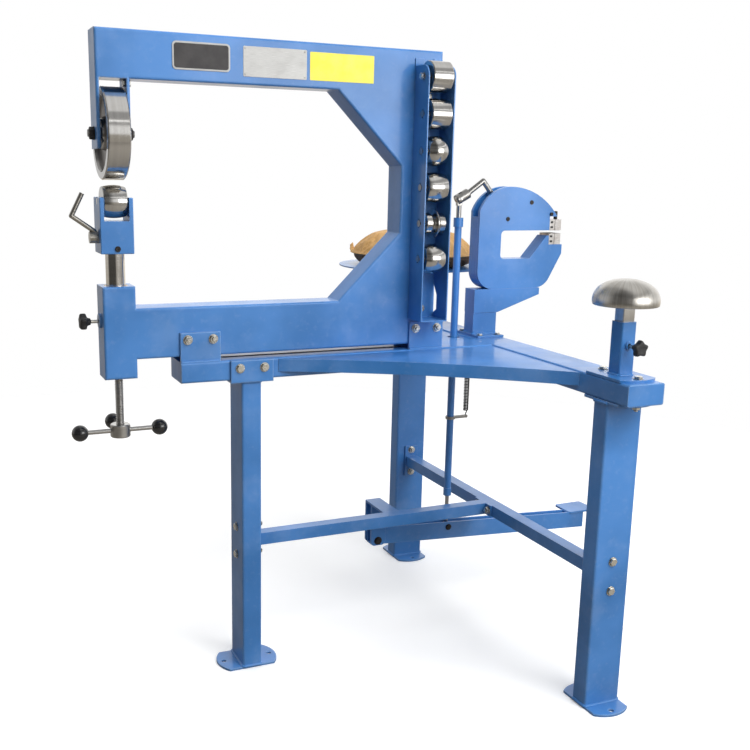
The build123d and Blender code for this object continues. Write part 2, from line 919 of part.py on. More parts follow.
def make_side_leg(side):
    """A leg under the cross beam: foot plate, tube and a flange of the same outline."""
    y = side * side_leg_y
    leg = Pos(cross_beam_x, y, 0) * drilled_foot(plate_thickness, foot_hole_radius)
    flange_low = beam_bottom - plate_thickness
    hole = bolt_radius + bolt_hole_gap
    leg += bar_section(leg_width, leg_depth, plate_thickness, flange_low, cross_beam_x, y)
    leg += Pos(cross_beam_x, y, flange_low) * drilled_foot(plate_thickness, hole)
    for z in brace_bolt_heights():
        start = (cross_beam_x, y - leg_depth, z)
        leg -= rod(start, (cross_beam_x, y + leg_depth, z), hole)
    return leg


def make_front_brace():
    """The brace from the front leg to the cross brace, with a plate at each end."""
    start = front_leg_x + leg_depth / 2
    end = cross_beam_x - cross_brace_width / 2
    z_span = (brace_top - brace_height, brace_top)
    brace = block((start, end), around(0, brace_width), z_span)
    plate_z = around(brace_middle(), brace_plate_height)
    plate_x = (start, start + plate_thickness)
    brace += block(plate_x, around(0, brace_plate_width), plate_z)
    brace += block((end - plate_thickness, end), around(0, joint_plate_width), z_span)
    hole = bolt_radius + bolt_hole_gap
    for z in brace_bolt_heights():
        brace -= rod((start, 0, z), (start + plate_thickness, 0, z), hole)
    for side in (-1, 1):
        y = side * joint_bolt_spacing / 2
        z = brace_middle()
        brace -= rod((end - 2 * plate_thickness, y, z), (end, y, z), hole)
    return brace


def make_cross_brace():
    """The brace between the side legs, with a bolted plate at each end."""
    end = side_leg_y - leg_depth / 2
    x_span = around(cross_beam_x, cross_brace_width)
    brace = block(x_span, (-end, end), (brace_top - brace_height, brace_top))
    plate_z = around(brace_middle(), brace_plate_height)
    hole = bolt_radius + bolt_hole_gap
    for side in (-1, 1):
        y_span = around(side * (end - plate_thickness / 2), plate_thickness)
        brace += block(around(cross_beam_x, brace_plate_width), y_span, plate_z)
        for z in brace_bolt_heights():
            near = (cross_beam_x, side * (end - plate_thickness), z)
            brace -= rod(near, (cross_beam_x, side * end, z), hole)
        y = side * joint_bolt_spacing / 2
        z = brace_middle()
        brace -= rod((x_span[0], y, z), (x_span[1], y, z), hole)
    return brace


# Fasteners

def make_stand_bolts():
    """The C-frame's clamp bolts, the saddle bolts and all bolts of the braces."""
    bolts = []
    grip = frame_thickness + 2 * plate_thickness
    for x in frame_bolt_places():
        start = (x, grip / 2, table_height + bracket_bolt_rise)
        bolts.append(bolt(start, (0, -1, 0), grip, bolt_radius))
    grip = beam_width + 2 * plate_thickness
    for x in saddle_bolt_places():
        start = (x, -grip / 2, saddle_bolt_z())
        bolts.append(bolt(start, (0, 1, 0), grip, bolt_radius))
    leg_grip = leg_depth + plate_thickness
    outer = side_leg_y + leg_depth / 2
    for z in brace_bolt_heights():
        start = (front_leg_x - leg_depth / 2, 0, z)
        bolts.append(bolt(start, (1, 0, 0), leg_grip, bolt_radius))
        for side in (-1, 1):
            start = (cross_beam_x, side * outer, z)
            bolts.append(bolt(start, (0, -side, 0), leg_grip, bolt_radius))
    joint_grip = cross_brace_width + plate_thickness
    for side in (-1, 1):
        start_x = cross_beam_x + cross_brace_width / 2
        start = (start_x, side * joint_bolt_spacing / 2, brace_middle())
        bolts.append(bolt(start, (-1, 0, 0), joint_grip, bolt_radius))
    return Compound(children=bolts)


def make_beam_bolts():
    """Long bolts down through a post's plate, the cross beam and the leg's flange."""
    grip = beam_height + 2 * plate_thickness
    bolts = []
    for y in beam_bolt_places():
        start = (cross_beam_x, y, post_plate_top)
        bolts.append(bolt(start, (0, 0, -1), grip, bolt_radius))
    return Compound(children=bolts)


def make_small_bolts():
    """The cheek bolt, the two rack bolts and the four bolts of the shrinker stand."""
    outside = (fork_width / 2, cheek_bolt_y, cheek_bolt_z)
    wall = (fork_width - fork_inner) / 2
    bolts = [bolt(outside, (-1, 0, 0), wall + 5.5, small_bolt_radius, nut=False)]
    for z in rack_bolt_places():
        start = (rack_x, rack_back_y - rack_sheet, z)
        bolts.append(bolt(start, (0, 1, 0), 22.0, small_bolt_radius, False, rack_bolt_head))
    for x, y in stand_bolt_places():
        start = (x, y, post_plate_top)
        bolts.append(bolt(start, (0, 0, -1), 22.0, small_bolt_radius, nut=False))
    return Compound(children=bolts)


# Shrinker

stand_x = head_x - 7.0


def stand_bolt_places():
    x_middle = stand_x + stand_post_width / 2
    x_step = stand_plate_width / 2 - 13.0
    y_step = stand_plate_length / 2 - 13.0
    places = []
    for x_side in (-1, 1):
        for y_side in (-1, 1):
            places.append((x_middle + x_side * x_step, shrinker_y + y_side * y_step))
    return places


def make_shrinker_stand():
    """Base plate, post and a tapered arm under the head."""
    x_middle = stand_x + stand_post_width / 2
    z_base = table_height
    plate = block(
        around(x_middle, stand_plate_width),
        around(shrinker_y, stand_plate_length),
        (z_base, z_base + plate_thickness),
    )
    post_y = around(shrinker_y, head_thickness)
    arm_low = head_bottom - stand_arm_height
    post_x = (stand_x, stand_x + stand_post_width)
    stand = plate + block(post_x, post_y, (z_base + plate_thickness, arm_low))
    arm = upright_outline([
        (stand_x, arm_low),
        (stand_x + stand_post_width + 3.0, arm_low),
        (stand_x + stand_arm_length, head_bottom - stand_tip_height),
        (stand_x + stand_arm_length, head_bottom),
        (stand_x, head_bottom),
    ])
    stand += thick(arm, shrinker_y, head_thickness + 3.0)
    for x, y in stand_bolt_places():
        stand -= rod((x, y, z_base), (x, y, z_base + plate_thickness), small_bolt_radius)
    return stand


def head_point(along, rise):
    return (head_x + along, head_bottom + rise)


def head_outline():
    """The C-shaped side plate of the shrinker head, as an XZ face."""
    left_rise = head_height - left_arc_radius
    right_rise = head_height - right_arc_radius
    diagonal = math.radians(45)
    left_middle = (
        head_top_x - left_arc_radius * math.sin(diagonal),
        left_rise + left_arc_radius * math.cos(diagonal),
    )
    left_start_x = 0.0
    side_run = head_top_x - left_start_x
    left_end_rise = left_rise + math.sqrt(left_arc_radius ** 2 - side_run ** 2)
    jaw_top = throat_high + jaw_height + 8.0
    right_end_x = head_top_x + math.sqrt(right_arc_radius ** 2 - (jaw_top - right_rise) ** 2)
    mid_angle = math.atan2(right_end_x - head_top_x, jaw_top - right_rise) / 2
    right_middle = (
        head_top_x + right_arc_radius * math.sin(mid_angle),
        right_rise + right_arc_radius * math.cos(mid_angle),
    )
    low_jaw_top = throat_high - jaw_gap
    low_jaw_bottom = low_jaw_top - jaw_height
    corner_45 = head_corner * (1 - math.cos(diagonal))
    low_tip = (head_length, low_jaw_bottom - 26.0)
    shoulder = (head_length - 38.0, 28.0)
    foot_end = head_length - 84.0
    pieces = (
        Line(head_point(0, head_corner), head_point(left_start_x, left_end_rise))
        + ThreePointArc(
            head_point(left_start_x, left_end_rise),
            head_point(*left_middle),
            head_point(head_top_x, head_height),
        )
        + ThreePointArc(
            head_point(head_top_x, head_height),
            head_point(*right_middle),
            head_point(right_end_x, jaw_top),
        )
        + Line(head_point(right_end_x, jaw_top), head_point(jaw_left, jaw_top))
        + Line(head_point(jaw_left, jaw_top), head_point(jaw_left, throat_high))
        + Line(head_point(jaw_left, throat_high), head_point(throat_left + 12.0, throat_high))
        + ThreePointArc(
            head_point(throat_left + 12.0, throat_high),
            head_point(throat_left + 3.5, throat_high - 3.5),
            head_point(throat_left, throat_high - 12.0),
        )
        + Line(head_point(throat_left, throat_high - 12.0), head_point(throat_left, throat_low + 12.0))
        + ThreePointArc(
            head_point(throat_left, throat_low + 12.0),
            head_point(throat_left + 3.5, throat_low + 3.5),
            head_point(throat_left + 12.0, throat_low),
        )
        + Line(head_point(throat_left + 12.0, throat_low), head_point(diagonal_start, throat_low))
        + Line(head_point(diagonal_start, throat_low), head_point(diagonal_end, low_jaw_top - 6.0))
        + Line(head_point(diagonal_end, low_jaw_top - 6.0), head_point(jaw_left, low_jaw_top - 6.0))
        + Line(head_point(jaw_left, low_jaw_top - 6.0), head_point(jaw_left, low_jaw_bottom))
        + Line(head_point(jaw_left, low_jaw_bottom), head_point(head_length, low_jaw_bottom))
        + Line(head_point(head_length, low_jaw_bottom), head_point(*low_tip))
        + Line(head_point(*low_tip), head_point(*shoulder))
        + TangentArc(head_point(foot_end, 0), head_point(*shoulder), tangent=(1, 0))
        + Line(head_point(foot_end, 0), head_point(head_corner, 0))
        + ThreePointArc(
            head_point(head_corner, 0),
            head_point(corner_45, corner_45),
            head_point(0, head_corner),
        )
    )
    return Plane.XZ * make_face(pieces)


def shrinker_pin_places():
    return (
        head_point(pin_1_x, pin_1_z),
        head_point(pin_2_x, pin_2_z),
    )


def make_shrinker_plate(side):
    middle = shrinker_y + side * (head_thickness - side_plate) / 2
    plate = thick(head_outline(), middle, side_plate)
    for x, z in shrinker_pin_places():
        plate -= rod((x, head_near, z), (x, head_far, z), pin_radius + running_fit)
    return plate


def make_shrinker_spine():
    """The filler between the side plates; it leaves the handle's slot open at the top."""
    inner = head_thickness - 2 * side_plate
    spine = thick(head_outline(), shrinker_y, inner)
    slot_low = throat_high + 38.0
    slot = block(
        (head_x - 1, head_x + head_length + 1),
        around(shrinker_y, head_thickness),
        (head_bottom + slot_low, head_bottom + head_height + 1),
    )
    spine -= slot
    x, z = head_point(pin_1_x, pin_1_z)
    return spine - rod((x, head_near, z), (x, head_far, z), pin_radius + running_fit)


def make_shrinker_pins():
    """The body pin and the handle's pivot, with their heads let into the near plate."""
    pins = []
    for x, z in shrinker_pin_places():
        pin = rod((x, head_near - 1.5, z), (x, head_far + 1.5, z), pin_radius)
        pins.append(pin)
    return Compound(children=pins)


def handle_points():
    """The bent handle from its hub out of the slot to the clevis."""
    hub = shrinker_pin_places()[1]
    slot = head_point(handle_slot_x, handle_slot_z)
    bend = head_point(handle_bend_x, handle_bend_z)
    clevis = (rod_x + 26.0, upper_pin_z + 14.0)
    return hub, slot, bend, clevis


def make_shrinker_handle():
    hub, slot, bend, clevis = handle_points()
    inner = head_thickness - 2 * side_plate - 2 * slide_gap
    y = shrinker_y
    lever = rod((hub[0], y - inner / 2, hub[1]), (hub[0], y + inner / 2, hub[1]), 17.0)
    points = [(hub[0], hub[1]), slot, bend, clevis]
    for (x0, z0), (x1, z1) in zip(points[:-1], points[1:]):
        lever += rod((x0, y, z0), (x1, y, z1), handle_radius)
    for x, z in (slot, bend):
        lever += Pos(x, y, z) * Sphere(handle_radius)
    lever -= rod((hub[0], head_near, hub[1]), (hub[0], head_far, hub[1]), pin_radius + running_fit)
    end = Vector(rod_x, y, upper_pin_z)
    start = Vector(clevis[0], y, clevis[1])
    along = (start - end).normalized()
    outer_end = end - along * 9.0
    fork = rod(tuple(start), tuple(outer_end), clevis_radius)
    eye_width = rod_eye_thickness + 2 * slide_gap
    eye_gap = rod_eye_radius + rod_slot_play + 3.5
    near_side, far_side = around(y, eye_width)
    slot_cut = rod((rod_x, near_side, upper_pin_z), (rod_x, far_side, upper_pin_z), eye_gap)
    slot_cut += block(
        around(rod_x, 2 * eye_gap),
        around(y, eye_width),
        (upper_pin_z - 3 * eye_gap, upper_pin_z),
    )
    fork -= slot_cut
    lever += fork
    pin_hole = rod((rod_x, head_near, upper_pin_z), (rod_x, head_far, upper_pin_z), rod_pin_radius)
    return lever - pin_hole


def make_clevis_pin():
    half = clevis_radius + 1.0
    start = (rod_x, shrinker_y - half, upper_pin_z)
    return rod(start, (rod_x, shrinker_y + half, upper_pin_z), rod_pin_radius)


def make_jaw(upper):
    """A jaw block with two small windows and a groove on its near side."""
    low = head_bottom + throat_high
    if not upper:
        low -= jaw_gap + jaw_height
    high = low + jaw_height - (slide_gap if upper else 0)
    x_low = head_x + jaw_left + slide_gap
    x_high = head_x + jaw_left + jaw_length
    jaw = block((x_low, x_high), around(shrinker_y, head_thickness), (low, high))
    near = (head_near - 1.0, head_near + jaw_window_depth)
    for share in (0.28, 0.74):
        z_span = around(low + share * jaw_height, 0.5 * jaw_window_width)
        x_start = x_low + 3.0
        jaw -= block((x_start, x_start + jaw_window_width), near, z_span)
    groove = around(x_low + 2 * jaw_window_width, 1.6)
    return jaw - block(groove, near, (low - 1.0, high + 1.0))


# Pull rod, pedal and spring

def make_pull_rod_tube():
    """The painted tube with a collar at each end."""
    collar_low = rod_collar_top - rod_collar_height
    tube = rod((rod_x, shrinker_y, rod_tube_bottom), (rod_x, shrinker_y, rod_collar_top), rod_radius)
    tube += rod((rod_x, shrinker_y, collar_low), (rod_x, shrinker_y, rod_collar_top), rod_collar_radius)
    low_top = rod_tube_bottom + rod_low_collar_height
    tube += rod((rod_x, shrinker_y, rod_tube_bottom), (rod_x, shrinker_y, low_top), rod_low_collar_radius)
    return tube


def rod_eye(z, half_thickness_eye):
    """A rod end with a hole long enough for the levers' arcs."""
    start = (rod_x, shrinker_y - half_thickness_eye, z)
    end = (rod_x, shrinker_y + half_thickness_eye, z)
    eye = rod(start, end, rod_eye_radius)
    slot_radius = rod_pin_radius + rod_pin_play
    for side in (-1, 1):
        x = rod_x + side * rod_slot_play
        eye -= rod((x, start[1], z), (x, end[1], z), slot_radius)
    eye -= block(around(rod_x, 2 * rod_slot_play), (start[1], end[1]), around(z, 2 * slot_radius))
    return eye


def make_pull_rod_ends():
    """The two steel rod ends screwed into the tube."""
    half = rod_eye_thickness / 2
    edge = 0.8 * rod_eye_radius
    top_start = (rod_x, shrinker_y, rod_collar_top)
    neck = upper_pin_z - 1.6 * rod_eye_radius
    top = rod(top_start, (rod_x, shrinker_y, neck), rod_stub_radius)
    flat = around(rod_x, 2 * rod_stub_radius)
    top += block(flat, around(shrinker_y, 2 * half), (neck, upper_pin_z - edge))
    top += rod_eye(upper_pin_z, half)
    low_start = (rod_x, shrinker_y, rod_tube_bottom)
    low = rod(low_start, (rod_x, shrinker_y, lower_pin_z + edge), rod_tip_radius)
    low += rod_eye(lower_pin_z, half)
    return Compound(children=[top, low])


def make_spring_clamp():
    """A split ring on the tube with an arm that carries the spring's lower hook."""
    z_span = around(clamp_z, clamp_height)
    ring = rod((rod_x, shrinker_y, z_span[0]), (rod_x, shrinker_y, z_span[1]), rod_radius + 4.0)
    arm = block((rod_x + rod_radius, rod_x + clamp_reach + 5.0), around(shrinker_y, 8.0), z_span)
    clamp = ring + arm
    clamp -= rod((rod_x, shrinker_y, z_span[0]), (rod_x, shrinker_y, z_span[1]), rod_radius)
    hook_x = rod_x + clamp_reach
    return clamp - rod((hook_x, 0, clamp_z), (hook_x, 2 * shrinker_y, clamp_z), spring_wire)


spring_x = rod_x + clamp_reach
spring_coil_low = clamp_z + 14.0


def coil_point(turns):
    """A point on the middle of the spring's wire after a number of turns."""
    angle = 2 * math.pi * turns
    return (
        spring_x + spring_radius * math.cos(angle),
        shrinker_y + spring_radius * math.sin(angle),
        spring_coil_low + spring_pitch * turns,
    )


def coil_self_gap():
    """The least distance between neighbouring turns of the wire, measured on points."""
    steps = 48
    start = coil_point(0)
    next_turn = [coil_point(0.5 + index / steps) for index in range(steps)]
    return min(math.dist(start, point) for point in next_turn) - 2 * spring_wire


def make_return_spring():
    """A close-wound spring swept along quarter turns, with a straight hook wire at each end."""
    quarters = 4 * spring_turns
    arcs = []
    for index in range(quarters):
        start = coil_point(index / 4)
        middle = coil_point((index + 0.5) / 4)
        end = coil_point((index + 1) / 4)
        arcs.append(ThreePointArc(start, middle, end))
    path = Wire([arc.edge() for arc in arcs])
    first = coil_point(0)
    section = Plane(origin=first, z_dir=(0, 1, spring_pitch / (2 * math.pi * spring_radius)))
    coil = sweep(section * RegularPolygon(spring_wire, 6), path=path)
    last = coil_point(spring_turns)
    low_hook = (spring_x, shrinker_y, clamp_z + clamp_height / 2 + slide_gap)
    high_hook = (spring_x, shrinker_y, beam_bottom - slide_gap)
    pieces = [coil]
    for wire_end, hook, step in ((first, low_hook, -1), (last, high_hook, 1)):
        turn = (spring_x, shrinker_y, wire_end[2] + step * 2 * spring_wire)
        pieces.append(rod(wire_end, turn, spring_wire))
        pieces.append(rod(turn, hook, spring_wire))
    spring = pieces[0]
    for piece in pieces[1:]:
        spring += piece
    return spring


def pedal_line(x):
    """The height of the pedal's middle line at X."""
    slope = (pedal_end_z - pedal_start_z) / (pedal_end_x - pedal_start_x)
    return pedal_start_z + slope * (x - pedal_start_x)


def pedal_side(start_x, end_x, below, above):
    """A strip of the pedal's side view between two offsets from its middle line."""
    start_z = pedal_line(start_x)
    end_z = pedal_line(end_x)
    return upright_outline([
        (start_x, start_z + below),
        (end_x, end_z + below),
        (end_x, end_z + above),
        (start_x, start_z + above),
    ])


def make_pedal_lever():
    """An open channel from the pivot past the rod to the foot pad."""
    half = pedal_height / 2
    channel_start = pedal_start_x - 1.0
    channel_end = foot_pad_start - pedal_wall
    lever = thick(pedal_side(pedal_start_x, pedal_end_x, -half, half), shrinker_y, pedal_width)
    channel = pedal_side(channel_start, channel_end, pedal_wall - half, half + 1.0)
    lever -= thick(channel, shrinker_y, pedal_width - 2 * pedal_wall)
    pad_y = (shrinker_y - pedal_width / 2 - 3.0, shrinker_y - pedal_width / 2 - 3.0 + foot_pad_width)
    top = pedal_end_z + half
    pad = block((foot_pad_start, foot_pad_start + foot_pad_length), pad_y, (top - 1.0, top + 5.0))
    lever += fillet(pad.edges().filter_by(Axis.Z), 8.0)
    for x, z, radius in (
        (pedal_pivot_x, pedal_pivot_z, bolt_radius + running_fit),
        (rod_x, lower_pin_z, rod_pin_radius),
    ):
        lever -= rod((x, shrinker_y - pedal_width, z), (x, shrinker_y + pedal_width, z), radius)
    return lever


def make_pedal_bracket():
    """A bent strap from the front brace over the pedal's end, with an ear on each side."""
    ear_gap = pedal_width / 2 + slide_gap
    x_span = (bracket_strap_x, bracket_strap_x + bracket_strap)
    far_y = shrinker_y + ear_gap + plate_thickness
    near_y = shrinker_y - ear_gap - plate_thickness
    top_z = (brace_top - plate_thickness, brace_top)
    strap = block(x_span, (brace_width / 2, far_y), top_z)
    low = pedal_pivot_z - 14.0
    for y_low in (near_y, shrinker_y + ear_gap):
        ear = block(x_span, (y_low, y_low + plate_thickness), (low, brace_top))
        strap += fillet(ear.edges().filter_by(Axis.Y).group_by(Axis.Z)[0], 12.0)
    foot_z = (brace_top - brace_height, brace_top)
    strap += block(x_span, (brace_width / 2, brace_width / 2 + plate_thickness), foot_z)
    hole = bolt_radius
    start = (pedal_pivot_x, near_y, pedal_pivot_z)
    return strap - rod(start, (pedal_pivot_x, far_y, pedal_pivot_z), hole)


def make_pedal_pivot():
    ear_gap = pedal_width / 2 + slide_gap
    grip = 2 * (ear_gap + plate_thickness)
    start = (pedal_pivot_x, shrinker_y - grip / 2, pedal_pivot_z)
    return bolt(start, (0, 1, 0), grip, bolt_radius)


def make_rod_bolt():
    start = (rod_x, shrinker_y - pedal_width / 2, lower_pin_z)
    return bolt(start, (0, 1, 0), pedal_width, rod_pin_radius)


# Posts, dome stake and sandbag

def post_y(side):
    return side * side_leg_y


def make_tool_posts():
    """Two alike square sockets on rounded plates, one at each end of the cross beam."""
    posts = []
    hole = bolt_radius + bolt_hole_gap
    inner = post_size - 2 * post_wall
    for side in (-1, 1):
        y = post_y(side)
        post = Pos(cross_beam_x, y, table_height) * drilled_foot(plate_thickness, hole)
        tube = RectangleRounded(post_size, post_size, 4.0)
        post += Pos(cross_beam_x, y, post_plate_top) * extrude(tube, post_height)
        boss_end = y - post_size / 2 - post_boss_length
        start = (cross_beam_x, boss_end, post_knob_z)
        post += rod(start, (cross_beam_x, y - inner / 2, post_knob_z), post_boss_radius)
        post -= block(
            around(cross_beam_x, inner),
            around(y, inner),
            (post_plate_top, post_plate_top + post_height),
        )
        stud_hole = knob_stud_radius + running_fit
        post -= rod(start, (cross_beam_x, y, post_knob_z), stud_hole)
        posts.append(post)
    return Compound(children=posts)


def post_knob(side):
    """The clamp knob of a post, its stud just short of the bar."""
    bar = post_size - 2 * post_wall - 2 * slide_gap
    seat_y = post_y(side) - bar / 2 - slide_gap
    reach = post_size / 2 + post_boss_length - bar / 2 - slide_gap
    return knob_with_stud((cross_beam_x, seat_y, post_knob_z), (0, -1, 0), reach + knob_stud_length)


def square_bar(side, top):
    """The bright square bar that slides in a post."""
    size = post_size - 2 * post_wall - 2 * slide_gap
    low = post_plate_top + post_height - bar_depth_in_post
    y = post_y(side)
    return block(around(cross_beam_x, size), around(y, size), (low, top))


def crown(edge_radius, edge_z, top_z):
    """The arc of a ball from an edge up to the axis, in (radius, z)."""
    rise = top_z - edge_z
    ball = (edge_radius ** 2 + rise ** 2) / (2 * rise)
    half_angle = math.asin(edge_radius / ball) / 2
    middle = (ball * math.sin(half_angle), top_z - ball * (1 - math.cos(half_angle)))
    return ThreePointArc((edge_radius, edge_z), middle, (0, top_z))


def make_dome_stake():
    """A domed head welded on a square bar."""
    low = post_plate_top + post_height + bar_rise
    top = low + dome_height
    bevel = 3.0
    outline = (
        Line((0, low), (dome_radius - bevel, low))
        + Line((dome_radius - bevel, low), (dome_radius, low + bevel))
        + Line((dome_radius, low + bevel), (dome_radius, low + dome_rim))
        + crown(dome_radius, low + dome_rim, top)
        + Line((0, top), (0, low))
    )
    head = revolve(Plane.XZ * make_face(outline), Axis.Z)
    return Pos(cross_beam_x, post_y(-1), 0) * head + square_bar(-1, low + 1.0)


bag_floor = post_plate_top + post_height + bar_rise


def make_bag_tray():
    """A round tray on a square bar."""
    disc = Pos(cross_beam_x, post_y(1), bag_floor + bag_tray_thickness / 2)
    tray = disc * Cylinder(tray_radius, bag_tray_thickness)
    return tray + square_bar(1, bag_floor + 1.0)


def make_sandbag():
    """A round filled bag: a drawn-in foot, a sewn lip round its middle and a full crown."""
    low = bag_floor + bag_tray_thickness
    top = low + bag_height
    lip_low = low + bag_lip_height - bag_lip / 2
    lip_high = low + bag_lip_height + bag_lip / 2
    waist = bag_radius - bag_lip
    cap_radius = 0.6 * bag_radius
    cap_z = top - bag_cap_rise
    ball = (cap_radius ** 2 + bag_cap_rise ** 2) / (2 * bag_cap_rise)
    slope = cap_radius / ball
    outline = (
        Line((0, low), (bag_foot_radius, low))
        + TangentArc((bag_foot_radius, low), (waist, lip_low), tangent=(1, 0.9))
        + ThreePointArc((waist, lip_low), (bag_radius, low + bag_lip_height), (waist, lip_high))
        + TangentArc((cap_radius, cap_z), (waist, lip_high), tangent=(1, -slope))
        + crown(cap_radius, cap_z, top)
        + Line((0, top), (0, low))
    )
    return Pos(cross_beam_x, post_y(1), 0) * revolve(Plane.XZ * make_face(outline), Axis.Z)


def save(name, shape):
    """Write one piece, with the centre of the front foot as the origin."""
    export_step(Pos(-front_leg_x, 0, 0) * shape, f"parts/{name}.step")


anvil_edges = {1: 37.3, 2: 36.6, 3: 27.0, 4: 33.5, 6: 31.0}


def rack_anvil(number):
    place = (rack_x, rack_anvil_y, rack_anvil_z(number - 1))
    if number in anvil_edges:
        return anvil_solid(anvil_edges[number], *place)
    return beading_anvil(*place)


def build_all():
    os.makedirs("parts", exist_ok=True)
    pieces = {
        "c_frame": make_c_frame,
        "upper_wheel": make_upper_wheel,
        "wheel_bearings": make_wheel_bearings,
        "wheel_axle": make_wheel_axle,
        "axle_nuts": make_axle_nuts,
        "shaft_bushings": make_shaft_bushings,
        "screw_nut": make_screw_nut,
        "lift_shaft": make_lift_shaft,
        "lift_screw": make_lift_screw,
        "hand_wheel": make_hand_wheel,
        "hand_wheel_balls": make_hand_wheel_balls,
        "anvil_yoke": make_anvil_yoke,
        "yoke_set_screw": make_yoke_set_screw,
        "release_lever": make_release_lever,
        "lower_anvil": lambda: anvil_solid(34.0, 0, 0, anvil_z),
        "anvil_axle": make_anvil_axle,
        "lock_knob": make_lock_knob,
        "anvil_rack": make_anvil_rack,
        "rack_axles": make_rack_axles,
        "front_beam": make_front_beam,
        "cross_beam": make_cross_beam,
        "near_corner_tray": lambda: make_corner_tray(-1),
        "far_corner_tray": lambda: make_corner_tray(1),
        "front_leg": make_front_leg,
        "near_leg": lambda: make_side_leg(-1),
        "far_leg": lambda: make_side_leg(1),
        "front_brace": make_front_brace,
        "cross_brace": make_cross_brace,
        "stand_bolts": make_stand_bolts,
        "beam_bolts": make_beam_bolts,
        "small_bolts": make_small_bolts,
        "shrinker_stand": make_shrinker_stand,
        "shrinker_near_plate": lambda: make_shrinker_plate(-1),
        "shrinker_far_plate": lambda: make_shrinker_plate(1),
        "shrinker_spine": make_shrinker_spine,
        "shrinker_pins": make_shrinker_pins,
        "shrinker_handle": make_shrinker_handle,
        "clevis_pin": make_clevis_pin,
        "upper_jaw": lambda: make_jaw(True),
        "lower_jaw": lambda: make_jaw(False),
        "pull_rod_tube": make_pull_rod_tube,
        "pull_rod_ends": make_pull_rod_ends,
        "spring_clamp": make_spring_clamp,
        "return_spring": make_return_spring,
        "pedal_bracket": make_pedal_bracket,
        "pedal_lever": make_pedal_lever,
        "pedal_pivot": make_pedal_pivot,
        "rod_bolt": make_rod_bolt,
        "tool_posts": make_tool_posts,
        "dome_stake": make_dome_stake,
        "dome_knob": lambda: post_knob(-1),
        "bag_tray": make_bag_tray,
        "sandbag": make_sandbag,
        "bag_knob": lambda: post_knob(1),
    }
    for name, make in pieces.items():
        save(name, make())
    for number in range(1, anvil_count + 1):
        save(f"rack_anvil_{number}", rack_anvil(number))
    print("least gap between spring turns", round(coil_self_gap(), 3))


build_all()
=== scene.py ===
import math
import random

import bmesh
import bpy
from bpy.props import FloatProperty, FloatVectorProperty, IntProperty, PointerProperty
from mathutils import Matrix, Vector


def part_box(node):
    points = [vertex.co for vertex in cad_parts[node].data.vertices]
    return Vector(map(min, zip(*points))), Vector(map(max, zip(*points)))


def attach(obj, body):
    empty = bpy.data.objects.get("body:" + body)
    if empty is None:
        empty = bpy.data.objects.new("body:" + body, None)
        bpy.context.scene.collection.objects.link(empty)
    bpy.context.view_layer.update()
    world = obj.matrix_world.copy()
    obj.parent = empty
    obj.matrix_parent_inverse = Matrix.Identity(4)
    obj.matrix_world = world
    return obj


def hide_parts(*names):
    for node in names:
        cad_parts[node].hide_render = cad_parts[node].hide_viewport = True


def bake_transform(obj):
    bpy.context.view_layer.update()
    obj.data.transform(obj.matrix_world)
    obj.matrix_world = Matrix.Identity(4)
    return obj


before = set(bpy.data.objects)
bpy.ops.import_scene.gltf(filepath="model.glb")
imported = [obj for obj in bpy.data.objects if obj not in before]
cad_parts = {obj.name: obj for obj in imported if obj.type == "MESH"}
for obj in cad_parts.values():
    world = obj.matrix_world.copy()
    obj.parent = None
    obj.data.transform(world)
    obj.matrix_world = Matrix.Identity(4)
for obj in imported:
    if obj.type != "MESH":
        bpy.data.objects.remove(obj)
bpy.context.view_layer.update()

bl_info = {
    "name": "English Wheel Dressing",
    "version": (1, 0, 0),
    "blender": (4, 5, 0),
    "location": "3D View > Sidebar > English Wheel",
    "description": "Paint, steel, fasteners, welds, leather and a stage for an english wheel",
    "category": "Object",
}

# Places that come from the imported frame, in metres
mm = 0.001


def low_of(node):
    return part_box(node)[0]


def high_of(node):
    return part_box(node)[1]


def middle_of(node):
    low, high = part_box(node)
    return (low + high) / 2


# Sizes of fasteners, plates and welds
m10 = 5 * mm
m8 = 4 * mm
plate = 6 * mm
bead_radius = 4.0 * mm
clamp_bolt_side = 31 * mm
stand_bolt_side = 29 * mm
fork_half = 37.5 * mm

shaft_axis = middle_of("lift_shaft")
wheel_middle = middle_of("upper_wheel")
table_top = high_of("cross_beam").z
beam_underside = low_of("cross_beam").z
cross_x = middle_of("cross_beam").x
leg_y = middle_of("far_leg").y
brace_z = middle_of("front_brace").z
front_leg_x = middle_of("front_leg").x
frame_near_y = low_of("c_frame").y
clamp_places = (shaft_axis.x + 187 * mm, shaft_axis.x + 791.5 * mm)
stand_y = 112 * mm

# The domed head, whose side is a superellipse over a rolled rim
dome_rise = 59.5 * mm
dome_rim = 9 * mm
dome_reach = 75 * mm
dome_power = 2.2
dome_bar = 31.4 * mm
dome_low = high_of("dome_stake").z - dome_rise

bag_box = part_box("sandbag")
bag_middle = middle_of("sandbag")
bag_lip_rise = 40 * mm
bag_lip = bag_box[0].z + bag_lip_rise

# Settings


def colour_setting(name, description, default):
    limits = {"min": 0.0, "max": 1.0}
    words = {"name": name, "description": description}
    return FloatVectorProperty(subtype="COLOR", default=default, **words, **limits)


def share_setting(name, description, default):
    limits = {"min": 0.0, "max": 1.0}
    words = {"name": name, "description": description}
    return FloatProperty(subtype="FACTOR", default=default, **words, **limits)


def length_setting(name, description, default, low, high):
    limits = {"min": low, "max": high}
    words = {"name": name, "description": description}
    return FloatProperty(unit="LENGTH", default=default, **words, **limits)


class PaintSettings(bpy.types.PropertyGroup):
    """The blue enamel."""

    blue: colour_setting("Blue", "Colour of the frame and the stand", (0.037, 0.186, 0.50))
    roughness: share_setting("Roughness", "How dull the enamel is", 0.34)
    peel: length_setting("Orange Peel", "Height of the paint's waviness", 0.00006, 0.0, 0.001)
    edge: length_setting("Edge Radius", "Rounding in the shading of edges", 0.0014, 0.0, 0.01)


